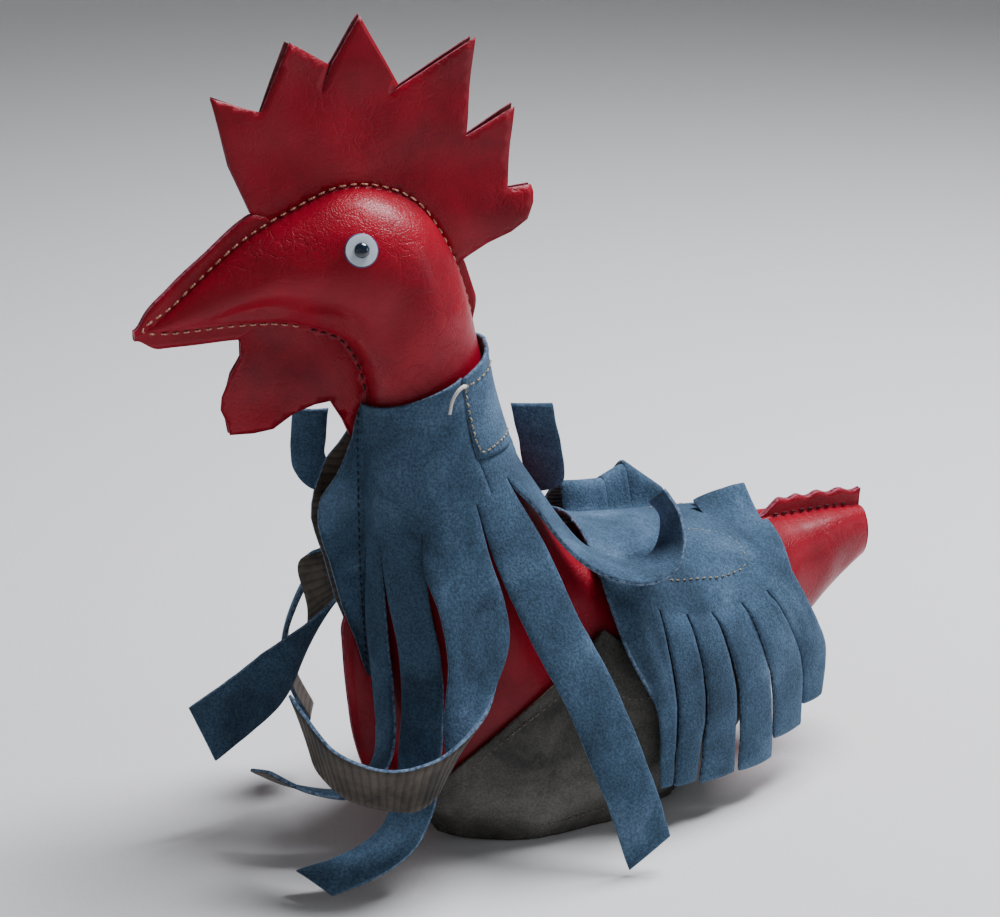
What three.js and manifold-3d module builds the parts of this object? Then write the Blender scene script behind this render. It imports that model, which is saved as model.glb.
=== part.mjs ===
// Stuffed leather rooster: two red leather side panels sewn flat together and stuffed, with a
// suede neck cape and a suede saddle that are both cut into fringe strips.
// Millimetres, +Z up. The rooster faces -Y, its left side is +X, and X = 0 is its seam plane.
// The origin is the middle of the flat sole that it stands on.

import * as THREE from 'three';
import { mergeVertices } from 'three/addons/utils/BufferGeometryUtils.js';
import Module from 'manifold-3d';

const wasm = await Module();
wasm.setup();

// ---- overall sizes ----
const LENGTH = 322;            // beak tip to tail end
const HEIGHT = 329;            // sole to the highest comb point
const BODY_WIDTH = 100;        // across the body panels at their widest

// ---- stock and clearances ----
const LEATHER = 1.3;           // red upholstery leather
const SUEDE = 1.8;             // split suede of the cape, saddle and side patches
const CLEARANCE = 0.4;         // between pieces that touch
const SEAM_GAP = 0.3;          // between the two panels on the seam plane
const SOLE_THICKNESS = 3.0;    // stiff leather sole
const THREAD = 0.9;            // diameter of the sewing thread

// ---- stuffing and ballast ----
const BALLAST_RADIUS = 25;     // sand bag in the base, across the rooster
const BALLAST_LENGTH = 64;     // and along it
const BALLAST_HEIGHT = 24;
const STUFFING_GAP = 1.1;      // between the stuffing and the inside of the leather
const STUFFING_FLOOR = 7;      // the stuffing rests on the ballast, clear of the turned-in bottom

// ---- eyes ----
const EYE_DIAMETER = 12.6;     // white disc
const EYE_THICKNESS = 1.2;
const BEAD_DIAMETER = 5.8;     // dark domed head of the eye pin
const BEAD_HEIGHT = 2.4;
const PIN_DIAMETER = 1.8;      // its shank, pushed through disc and leather
const PIN_LENGTH = 9;
const EYE_STATION = 5.25;      // along the head, in sections
const EYE_TURN = 0.40;         // around the head, from the crown seam down

// ---- seam flanges: how far the raw edges stand out beyond the stitches ----
const BEAK_FLANGE = 8.5;
const CROWN_FLANGE = 2.6;
const NAPE_FLANGE = 5;
const CHEST_FLANGE = 12;
const TAIL_FLANGE = 7;
const HIDDEN_FLANGE = 0.6;     // trimmed edge under the cape and the saddle

// ---- fringe ----
const STRIP_WIDTH = 18;        // usual width of a neck strip
const WIDE_STRIP_WIDTH = 26;
const NARROW_STRIP_WIDTH = 12.5;
const PATCH_LIFT = 0.8;        // side patches stand this far off the body panels
const CAPE_LIFT = 1.1;         // the cape clears the trimmed seam edges under it
const SADDLE_LIFT = 3.2;       // saddle stands this far off the body, over the side patches
const STRIP_LIFT = 3.4;        // how much farther its strips hang off

// The outlines below are drawn at these sizes and stretched to the ones set above.
const DRAWN = { width: 100, length: 322, height: 329 };
const STRETCH = new THREE.Vector3(
  BODY_WIDTH / DRAWN.width, LENGTH / DRAWN.length, HEIGHT / DRAWN.height,
);

const at = (x, y, z) => new THREE.Vector3(x, y, z).multiply(STRETCH);

// ---- body form ----
// Sections from the beak tip, round the head and neck, to the tail. Each one runs from a point on
// the upper seam (y, z) to one on the lower seam (y, z) and bulges sideways by its half width.
const SECTIONS = [
  [-154, 219.5, -154, 217.5, 0.4],
  [-146.5, 221.5, -146.5, 219, 0.6],
  [-131, 234.5, -132, 219, 7],
  [-112, 249, -115, 219, 11.5],
  [-92, 259, -98, 217.5, 17],
  [-74, 265.5, -85, 213.5, 22],
  [-57, 264, -75, 208.5, 25],
  [-42, 255.5, -69.5, 201, 26],
  [-31, 238, -66.5, 193, 25.5],
  [-24, 218, -65, 186, 24],
  [-20, 199, -65, 181, 23],
  [-16, 180, -65, 167, 23.5],
  [-9, 158, -65, 150, 26],
  [2, 138, -65.5, 129, 30],
  [14, 122, -66, 108, 34.5],
  [24, 114, -66, 85, 39],
  [34, 110.5, -65, 60, 43],
  [44, 109, -61, 34, 46],
  [53, 108.5, -50, 8, 47.5],
  [60, 108, -30, -14, 48.7],
  [67, 107.5, -5, -18, 48.4],
  [74, 107, 20, -16, 47],
  [82, 106.5, 45, -8, 44.5],
  [92, 106, 70, 6, 40.5],
  [103, 105.5, 93, 24, 35],
  [116, 105, 112, 47, 28],
  [129, 105, 129, 61, 21.5],
  [144, 105, 145, 72, 15],
  [160, 104, 160, 81, 9],
];
const NECK_END = 11.5;         // where the head panels stop inside the collar
const COLLAR_TOP = 9.9;
const LAST = SECTIONS.length - 1;

const track = (pick) => new THREE.CatmullRomCurve3(SECTIONS.map(pick), false, 'catmullrom', 0.5);
const upperSeam = track(([y, z]) => at(0, y, z));
const lowerSeam = track(([, , y, z]) => at(0, y, z));
const halfWidth = track(([, , , , w]) => at(w, 0, 0));
const FLOOR = SOLE_THICKNESS + CLEARANCE;

// Boxier towards the haunches, round at the head and the neck.
const fullness = (u) => THREE.MathUtils.lerp(1, 0.8, THREE.MathUtils.smoothstep(u, 15, 19));

// A point of the body's outer face, left side; turn runs from 0, upper seam, to 1, lower seam.
function bodyPoint(u, turn) {
  const upper = upperSeam.getPoint(u / LAST);
  const lower = lowerSeam.getPoint(u / LAST);
  const angle = Math.PI * turn;
  const point = upper.lerp(lower, (1 - Math.cos(angle)) / 2);
  const swell = Math.sin(angle) ** fullness(u);
  point.x = SEAM_GAP / 2 + LEATHER + halfWidth.getPoint(u / LAST).x * swell;
  point.z = Math.max(point.z, FLOOR);
  return point;
}

// The same point moved along the outward normal.
function offsetPoint(u, turn, offset) {
  const step = 0.02;
  const point = bodyPoint(u, turn);
  const along = bodyPoint(Math.min(u + step, LAST), turn).sub(bodyPoint(Math.max(u - step, 0), turn));
  const down = bodyPoint(u, Math.min(turn + step, 1)).sub(bodyPoint(u, Math.max(turn - step, 0)));
  const normal = down.cross(along).normalize();
  if (normal.x < 0) normal.negate();
  const roundness = Math.min(halfWidth.getPoint(u / LAST).x / 12, 1);
  normal.lerp(new THREE.Vector3(1, 0, 0), 1 - roundness).normalize();
  point.addScaledVector(normal, offset);
  point.z = Math.max(point.z, FLOOR - offset);
  return point;
}

// ---- mesh builders ----
// The bare closed mesh of a three.js geometry: shared vertices merged, faces turned outwards.
function closed(geometry) {
  const bare = geometry.clone();
  bare.deleteAttribute('normal');
  bare.deleteAttribute('uv');
  return outward(mergeVertices(bare, 1e-4));
}

function outward(geometry) {
  const position = geometry.getAttribute('position');
  const index = geometry.getIndex();
  const [a, b, c] = [new THREE.Vector3(), new THREE.Vector3(), new THREE.Vector3()];
  let volume = 0;
  for (let i = 0; i < index.count; i += 3) {
    a.fromBufferAttribute(position, index.getX(i));
    b.fromBufferAttribute(position, index.getX(i + 1));
    c.fromBufferAttribute(position, index.getX(i + 2));
    volume += a.dot(b.cross(c));
  }
  if (volume < 0) {
    for (let i = 0; i < index.count; i += 3) {
      const first = index.getX(i);
      index.setX(i, index.getX(i + 1));
      index.setX(i + 1, first);
    }
  }
  return geometry;
}

function fromLists(points, faces) {
  const geometry = new THREE.BufferGeometry();
  geometry.setAttribute('position', new THREE.Float32BufferAttribute(points.flatMap((p) => p.toArray()), 3));
  geometry.setIndex(faces);
  return outward(geometry);
}

// A sheet with thickness: two grids of points that match, closed round their edges.
function sheet(outer, inner) {
  const rows = outer.length;
  const columns = outer[0].length;
  const points = [...outer.flat(), ...inner.flat()];
  const id = (side, i, j) => side * rows * columns + i * columns + j;
  const faces = [];
  const quad = (a, b, c, d) => faces.push(a, b, c, a, c, d);
  for (let i = 0; i < rows - 1; i += 1) {
    for (let j = 0; j < columns - 1; j += 1) {
      quad(id(0, i, j), id(0, i + 1, j), id(0, i + 1, j + 1), id(0, i, j + 1));
      quad(id(1, i, j), id(1, i, j + 1), id(1, i + 1, j + 1), id(1, i + 1, j));
    }
    quad(id(0, i, 0), id(1, i, 0), id(1, i + 1, 0), id(0, i + 1, 0));
    quad(id(0, i, columns - 1), id(0, i + 1, columns - 1), id(1, i + 1, columns - 1), id(1, i, columns - 1));
  }
  for (let j = 0; j < columns - 1; j += 1) {
    quad(id(0, 0, j), id(0, 0, j + 1), id(1, 0, j + 1), id(1, 0, j));
    quad(id(0, rows - 1, j), id(1, rows - 1, j), id(1, rows - 1, j + 1), id(0, rows - 1, j + 1));
  }
  return fromLists(points, faces);
}

// A solid through closed rings, with its two ends fanned shut.
function loft(rings) {
  const count = rings[0].length;
  const points = rings.flat();
  const faces = [];
  for (let i = 0; i < rings.length - 1; i += 1) {
    for (let j = 0; j < count; j += 1) {
      const next = (j + 1) % count;
      const [a, b] = [i * count + j, i * count + next];
      const [c, d] = [(i + 1) * count + next, (i + 1) * count + j];
      faces.push(a, b, c, a, c, d);
    }
  }
  [0, rings.length - 1].forEach((row, end) => {
    const middle = points.length;
    const sum = rings[row].reduce((total, p) => total.add(p), new THREE.Vector3());
    points.push(sum.divideScalar(count));
    for (let j = 0; j < count; j += 1) {
      const [a, b] = [row * count + j, row * count + (j + 1) % count];
      faces.push(...(end ? [middle, a, b] : [middle, b, a]));
    }
  });
  return fromLists(points, faces);
}

const range = (from, to, steps) => Array.from({ length: steps + 1 }, (_, i) => from + (to - from) * i / steps);

function mirrored(geometry) {
  return outward(geometry.clone().scale(-1, 1, 1));
}

// A flat leaf cut to an outline (y, z) and held at a distance from the seam plane.
function leaf(outline, thickness, from = SEAM_GAP / 2) {
  const shape = new THREE.Shape(outline.map(([y, z]) => {
    const point = at(0, y, z);
    return new THREE.Vector2(point.y, point.z);
  }));
  const geometry = new THREE.ExtrudeGeometry(shape, { depth: thickness, bevelEnabled: false, steps: 1 });
  geometry.applyMatrix4(new THREE.Matrix4().makeBasis(
    new THREE.Vector3(0, 1, 0), new THREE.Vector3(0, 0, 1), new THREE.Vector3(1, 0, 0),
  ));
  return closed(geometry.translate(from, 0, 0));
}

// A strip along two or more lines from edge to edge, each a list of points that match.
function strip(lines, thickness, steps) {
  const curves = lines.map((points) => new THREE.CatmullRomCurve3(points));
  const [outer, inner] = [[], []];
  range(0, 1, steps).forEach((t) => {
    const row = curves.map((curve) => curve.getPoint(t));
    const travel = curves[0].getTangent(t).add(curves.at(-1).getTangent(t));
    const half = travel.cross(row.at(-1).clone().sub(row[0])).setLength(thickness / 2);
    outer.push(row.map((p) => p.clone().add(half)));
    inner.push(row.map((p) => p.clone().sub(half)));
  });
  return sheet(outer, inner);
}

// The edge lines of a strip from its middle line: stations of [x, y, z, across-x, -y, -z].
function edges(stations, width, side = 1) {
  const [edgeA, edgeB] = [[], []];
  stations.forEach(([x, y, z, ax, ay, az]) => {
    const middle = at(x * side, y, z);
    const half = new THREE.Vector3(ax * side, ay, az).setLength(width / 2);
    edgeA.push(middle.clone().sub(half));
    edgeB.push(middle.clone().add(half));
  });
  return [edgeA, edgeB];
}

function solidOf(geometry) {
  const merged = closed(geometry);
  return new wasm.Manifold(new wasm.Mesh({
    numProp: 3,
    vertProperties: new Float32Array(merged.getAttribute('position').array),
    triVerts: new Uint32Array(merged.getIndex().array),
  }));
}

function cut(geometry, ...tools) {
  const result = tools.reduce((solid, tool) => solid.subtract(solidOf(tool)), solidOf(geometry));
  const mesh = result.getMesh();
  const out = new THREE.BufferGeometry();
  out.setAttribute('position', new THREE.BufferAttribute(mesh.vertProperties, 3));
  out.setIndex(new THREE.BufferAttribute(mesh.triVerts, 1));
  return out;
}

// ---- the model ----
const rooster = new THREE.Group();
const MATERIALS = {
  redLeather: { color: 0x8f1827, roughness: 0.35, metalness: 0 },
  suede: { color: 0x46637c, roughness: 0.95, metalness: 0 },
  greySuede: { color: 0x4b4a48, roughness: 0.95, metalness: 0 },
  sole: { color: 0x5a3a2a, roughness: 0.8, metalness: 0 },
  stuffing: { color: 0xe8e2d2, roughness: 1, metalness: 0 },
  ballast: { color: 0xb9a987, roughness: 1, metalness: 0 },
  eyeWhite: { color: 0xdfe6ec, roughness: 0.4, metalness: 0 },
  eyeBead: { color: 0x101828, roughness: 0.1, metalness: 0 },
  thread: { color: 0xb08d57, roughness: 0.8, metalness: 0 },
};

function add(name, geometry, material) {
  const mesh = new THREE.Mesh(geometry, new THREE.MeshStandardMaterial(MATERIALS[material]));
  mesh.name = name;
  rooster.add(mesh);
}

function addPair(name, geometry, material) {
  add(`${name}_left`, geometry, material);
  add(`${name}_right`, mirrored(geometry), material);
}

// ---- red side panels ----
// One side panel: flat flange, skin over the stuffing, flat flange again.
function sidePanel(from, to, steps, turns, upperFlange, lowerFlange) {
  const [outer, inner] = [[], []];
  range(from, to, steps).forEach((u) => {
    const upper = upperSeam.getPoint(u / LAST);
    const lower = lowerSeam.getPoint(u / LAST);
    const rise = upper.clone().sub(lower).normalize();
    lower.z = Math.max(lower.z, FLOOR);
    const wall = Math.min(LEATHER, upper.distanceTo(lower) * 0.3);
    const face = (point, x) => point.clone().setX(x);
    const [near, far] = [SEAM_GAP / 2, SEAM_GAP / 2 + LEATHER];
    const top = upper.clone().addScaledVector(rise, upperFlange(u));
    const bottom = lower.clone();
    if (lower.z > FLOOR) bottom.addScaledVector(rise, -lowerFlange(u));
    const innerLower = lower.clone().addScaledVector(rise, wall);
    innerLower.z = Math.max(innerLower.z, Math.min(FLOOR + LEATHER, upper.z));
    const middle = range(0, 1, turns).slice(1, -1);
    const skin = middle.map((turn) => offsetPoint(u, turn, 0));
    const lining = middle.map((turn) => offsetPoint(u, turn, -LEATHER));
    outer.push([face(top, far), face(upper, far), ...skin, face(lower, far)]);
    inner.push([face(top, near), face(upper.clone().addScaledVector(rise, -wall), near),
      ...lining, face(innerLower, near)]);
    if (lowerFlange(u) !== null) {
      outer.at(-1).push(face(bottom, far));
      inner.at(-1).push(face(bottom, near));
    }
  });
  return sheet(outer, inner);
}

const smooth = THREE.MathUtils.smoothstep;
const blendTo = (from, to, u, start, end) => from + (to - from) * smooth(u, start, end);

const headUpperFlange = (u) => {
  if (u < 5) return blendTo(0.8, BEAK_FLANGE, u, 0, 1.2) - blendTo(0, BEAK_FLANGE - CROWN_FLANGE, u, 3.1, 3.6);
  const nape = blendTo(CROWN_FLANGE, NAPE_FLANGE, u, 7.9, 8.5);
  return nape - blendTo(0, NAPE_FLANGE - HIDDEN_FLANGE, u, 9.1, 9.6);
};
const headLowerFlange = (u) => {
  const beak = blendTo(0.8, BEAK_FLANGE * 0.75, u, 0, 1.2);
  return beak - blendTo(0, BEAK_FLANGE * 0.75 - HIDDEN_FLANGE, u, 3.0, 3.6);
};
const bodyUpperFlange = (u) => blendTo(HIDDEN_FLANGE, TAIL_FLANGE, u, 24.6, 25.4);
const bodyLowerFlange = (u) => {
  const chest = blendTo(HIDDEN_FLANGE, CHEST_FLANGE, u, 13.9, 14.8);
  return chest - blendTo(0, CHEST_FLANGE - HIDDEN_FLANGE, u, 17.1, 17.9);
};

const headPanel = sidePanel(0, NECK_END - 0.02, 19, 10, headUpperFlange, headLowerFlange);
const bodyPanel = sidePanel(NECK_END + 0.02, LAST, 24, 10, bodyUpperFlange, bodyLowerFlange);

// ---- eyes ----
const eyeSeat = offsetPoint(EYE_STATION, EYE_TURN, 0);
const eyeAxis = offsetPoint(EYE_STATION, EYE_TURN, 1).sub(eyeSeat).normalize();
const EYE_STANDOFF = 1.4;      // the flat disc rests on the curved cheek

// A turned piece that stands on the cheek; its profile is (radius, height above the cheek).
function onCheek(profile, segments) {
  const geometry = new THREE.LatheGeometry(profile.map(([r, h]) => new THREE.Vector2(r, h)), segments);
  const turn = new THREE.Quaternion().setFromUnitVectors(new THREE.Vector3(0, 1, 0), eyeAxis);
  return closed(geometry.applyQuaternion(turn).translate(eyeSeat.x, eyeSeat.y, eyeSeat.z));
}

const pinHole = PIN_DIAMETER / 2 + CLEARANCE;
const discTop = EYE_STANDOFF + EYE_THICKNESS;
const eyeDisc = onCheek([
  [pinHole, EYE_STANDOFF], [EYE_DIAMETER / 2, EYE_STANDOFF], [EYE_DIAMETER / 2, discTop - 0.3],
  [EYE_DIAMETER / 2 - 0.4, discTop], [pinHole, discTop], [pinHole, EYE_STANDOFF],
], 28);
const beadSeat = discTop + CLEARANCE;
const beadArc = range(0, Math.PI / 2, 4).map((a) => [
  Math.cos(a) * BEAD_DIAMETER / 2, beadSeat + Math.sin(a) * BEAD_HEIGHT,
]);
beadArc[beadArc.length - 1][0] = 0;
const eyePin = onCheek([
  [0, beadSeat - PIN_LENGTH], [PIN_DIAMETER / 2, beadSeat - PIN_LENGTH + 1],
  [PIN_DIAMETER / 2, beadSeat], ...beadArc,
], 16);
const pinBore = (grow) => onCheek([
  [0, beadSeat - PIN_LENGTH - 1 - grow], [pinHole + grow, beadSeat - PIN_LENGTH - 1 - grow],
  [pinHole + grow, EYE_STANDOFF], [0, EYE_STANDOFF],
], 12);

addPair('head_panel', cut(headPanel, pinBore(0)), 'redLeather');
addPair('body_panel', bodyPanel, 'redLeather');
addPair('eye_disc', eyeDisc, 'eyeWhite');
addPair('eye_pin', eyePin, 'eyeBead');

// ---- stuffing and ballast ----
function stuffing(from, to, steps, turns) {
  const inset = -(LEATHER + STUFFING_GAP);
  const rings = range(from, to, steps).map((u) => {
    const upper = upperSeam.getPoint(u / LAST);
    const lower = lowerSeam.getPoint(u / LAST);
    const rise = upper.clone().sub(lower).normalize();
    const top = upper.clone().addScaledVector(rise, inset * 1.5);
    const bottom = lower.clone().addScaledVector(rise, -inset * 1.5);
    const side = range(0, 1, turns).slice(1, -1).map((turn) => offsetPoint(u, turn, inset));
    [bottom, ...side].forEach((p) => p.setZ(Math.max(p.z, FLOOR + STUFFING_FLOOR)));
    const other = side.map((p) => p.clone().setX(-p.x)).reverse();
    return [top, ...side, bottom, ...other];
  });
  return loft(rings);
}

const STUFFED_FROM = 1.6;      // the beak's first stretch is leather only
const headStuffing = stuffing(STUFFED_FROM, NECK_END - 0.1, 16, 10);
const bodyStuffing = stuffing(NECK_END + 0.1, LAST - 0.4, 24, 10);
const ballastFloor = FLOOR + LEATHER + CLEARANCE;
const BALLAST_PLACE = 6;       // along the body, from the middle of the sole

// A flat-bottomed bun, wider along the body than across it.
function bun(grow, drop) {
  const arc = range(0, Math.PI / 2, 5).map((a) => new THREE.Vector2(
    Math.cos(a) * (BALLAST_RADIUS + grow), BALLAST_HEIGHT * 0.4 + Math.sin(a) * (BALLAST_HEIGHT * 0.6 + grow),
  ));
  arc[arc.length - 1].x = 0;
  const profile = [new THREE.Vector2(0, -drop), new THREE.Vector2(BALLAST_RADIUS + grow, -drop), ...arc];
  const geometry = new THREE.LatheGeometry(profile, 20).rotateX(Math.PI / 2);
  geometry.scale(1, (BALLAST_LENGTH / 2 + grow) / (BALLAST_RADIUS + grow), 1);
  const place = at(0, BALLAST_PLACE, 0);
  geometry.translate(0, place.y, ballastFloor);
  return closed(geometry);
}

add('head_stuffing', cut(headStuffing, pinBore(0.3), mirrored(pinBore(0.3))), 'stuffing');
add('body_stuffing', cut(bodyStuffing, bun(CLEARANCE * 2, 10)), 'stuffing');
add('ballast_bag', bun(0, 0), 'ballast');

// ---- sole: the flat base ----
const SOLE_HALF_WIDTH = 37;
const SOLE_FRONT = -44;
const SOLE_BACK = 52;

function sole() {
  const shape = new THREE.Shape();
  const [wide, front, back] = [at(SOLE_HALF_WIDTH, 0, 0).x, at(0, SOLE_FRONT, 0).y, at(0, SOLE_BACK, 0).y];
  shape.absellipse(0, (front + back) / 2, wide, (back - front) / 2, 0, Math.PI * 2);
  return closed(new THREE.ExtrudeGeometry(shape, {
    depth: SOLE_THICKNESS, bevelEnabled: false, curveSegments: 18,
  }));
}
add('base_sole', sole(), 'sole');

// ---- grey suede patches sewn over the lower sides ----
const PATCH_FRONT = 17.05;
const PATCH_BACK = 23.4;
const PATCH_TOP = 0.35;
const PATCH_LOW = 0.9;         // as low as it goes where the body curves up off the sole
const PATCH_DROP = 3.6;
const PATCH_HEM = 0.8;         // the hem's height off the ground

// The patch stops just above the sole, so it never reaches under the body.
function patchBottom(u) {
  let turn = PATCH_TOP;
  while (turn < PATCH_LOW && offsetPoint(u, turn, SUEDE).z > FLOOR + 1) turn += 0.01;
  return turn;
}

function patch() {
  const [outer, inner] = [[], []];
  range(0, 1, 8).forEach((down) => {
    const front = PATCH_FRONT + 0.75 * down ** 3;
    const places = range(front, PATCH_BACK, 12).map((u) => [
      u, THREE.MathUtils.lerp(PATCH_TOP, patchBottom(u), down),
    ]);
    outer.push(places.map(([u, turn]) => offsetPoint(u, turn, PATCH_LIFT + SUEDE)));
    inner.push(places.map(([u, turn]) => offsetPoint(u, turn, PATCH_LIFT)));
  });
  // The hem drops straight past the edge of the sole.
  [outer, inner].forEach((grid) => grid.push(
    grid.at(-1).map((p) => p.clone().setZ(Math.max(p.z - PATCH_DROP, PATCH_HEM))),
  ));
  return sheet(outer, inner);
}
addPair('side_patch', patch(), 'greySuede');

// ---- comb and wattle: leaves that carry on from the seam flanges ----
const COMB_FOLD = 277;         // the free blade bends above this height
const FOLD_GAP = 0.75;         // room for the free leaf's edge to turn
const combBlade = [
  [-115.4, COMB_FOLD + FOLD_GAP], [-121, 303], [-103, 296], [-92, 321], [-76, 312], [-64, 329],
  [-49, 302], [-20, 318], [-23, 281], [-3, 291], [-4.5, COMB_FOLD + FOLD_GAP],
];
const COMB_LIFT = CROWN_FLANGE + 0.5;
const seamPoints = (line, from, to, steps, lift, sign) => range(from, to, steps).map((u) => {
  const point = line.getPoint(u / LAST);
  const rise = upperSeam.getPoint(u / LAST).sub(lowerSeam.getPoint(u / LAST)).normalize();
  point.addScaledVector(rise, lift * sign);
  return [point.y / STRETCH.y, point.z / STRETCH.z];
});
const combRoot = [
  [-108, 259.5], [-115.3, COMB_FOLD], [-4.6, COMB_FOLD], [-6, 259], [4, 259.5], [4, 254.5], [2, 247],
  [-4, 242], ...seamPoints(upperSeam, 7.8, 4.3, 10, COMB_LIFT, 1),
];
addPair('comb_root', leaf(combRoot, LEATHER), 'redLeather');
addPair('comb_blade', leaf(combBlade, LEATHER), 'redLeather');

const WATTLE_FOLD = 199.5;
const WATTLE_BACK = -77.4;     // the free leaf is slit from the throat here
const wattleRoot = [
  [-118.4, WATTLE_FOLD + FOLD_GAP], [-114.5, 206], [-112, 211],
  ...seamPoints(lowerSeam, 3.75, 9.6, 12, HIDDEN_FLANGE + 0.5, -1),
  [-66.8, 176], [-72, 168.5], [WATTLE_BACK, 182], [WATTLE_BACK, WATTLE_FOLD + FOLD_GAP],
];
const wattleLeaf = [
  [-118.6, WATTLE_FOLD], [-122, 188], [-120, 176], [-103, 176], [-94, 181], [-80, 183.5],
  [WATTLE_BACK - 0.6, 183.5], [WATTLE_BACK - 0.6, WATTLE_FOLD],
];
addPair('wattle_root', leaf(wattleRoot, LEATHER), 'redLeather');
addPair('wattle_leaf', leaf(wattleLeaf, LEATHER), 'redLeather');

// ---- suede neck cape ----
const CAPE_SPLIT = 0.42;       // overlap seam between its front pieces and its back piece
const capeFoot = (turn) => 12.1 + 1.25 * turn ** 1.6;

function capePiece(fromTurn, toTurn, steps) {
  const [outer, inner] = [[], []];
  range(0, 1, 6).forEach((t) => {
    const turns = range(fromTurn, toTurn, steps);
    const u = (turn) => THREE.MathUtils.lerp(COLLAR_TOP, capeFoot(turn), t);
    outer.push(turns.map((turn) => offsetPoint(u(turn), turn, CAPE_LIFT + SUEDE)));
    inner.push(turns.map((turn) => offsetPoint(u(turn), turn, CAPE_LIFT)));
  });
  return [outer, inner];
}

// Its front edge stops beside the seam allowance, which lies in the same suede.
const CAPE_LEAF_FROM = SEAM_GAP / 2 + LEATHER + CLEARANCE;
const besideLeaf = CAPE_LEAF_FROM + SUEDE + 0.1;
const [frontOuter, frontInner] = capePiece(CAPE_SPLIT + 0.008, 0.97, 6);
[...frontOuter, ...frontInner].flat().forEach((point) => point.setX(Math.max(point.x, besideLeaf)));
addPair('cape_front', sheet(frontOuter, frontInner), 'suede');

function capeBack() {
  const [outer, inner] = capePiece(0.03, CAPE_SPLIT - 0.008, 4);
  const across = (grid) => grid.map((row) => [
    ...row.map((p) => p.clone().setX(-p.x)).reverse(), ...row,
  ]);
  return sheet(across(outer), across(inner));
}
add('cape_back', capeBack(), 'suede');

// The cape's front seam allowance stands forward of the throat and hangs down the chest, one
// suede leaf on each side of the red chest flange.
const THROAT = -63.6;          // the front of the throat, under the cape
const FLANGE_BACK = THROAT - CAPE_LIFT - SUEDE - CLEARANCE;
const capeFlange = [
  [-68, 180.5], [-72, 169], [-79, 158], [-83, 151], [-87, 141], [-86, 129], [-83, 119],
  [-78.5, 99.5], [-73, 84], [-68.5, 68], [FLANGE_BACK, 66], [FLANGE_BACK, 178],
];
addPair('cape_flange', leaf(capeFlange, SUEDE, CAPE_LEAF_FROM), 'suede');

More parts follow.
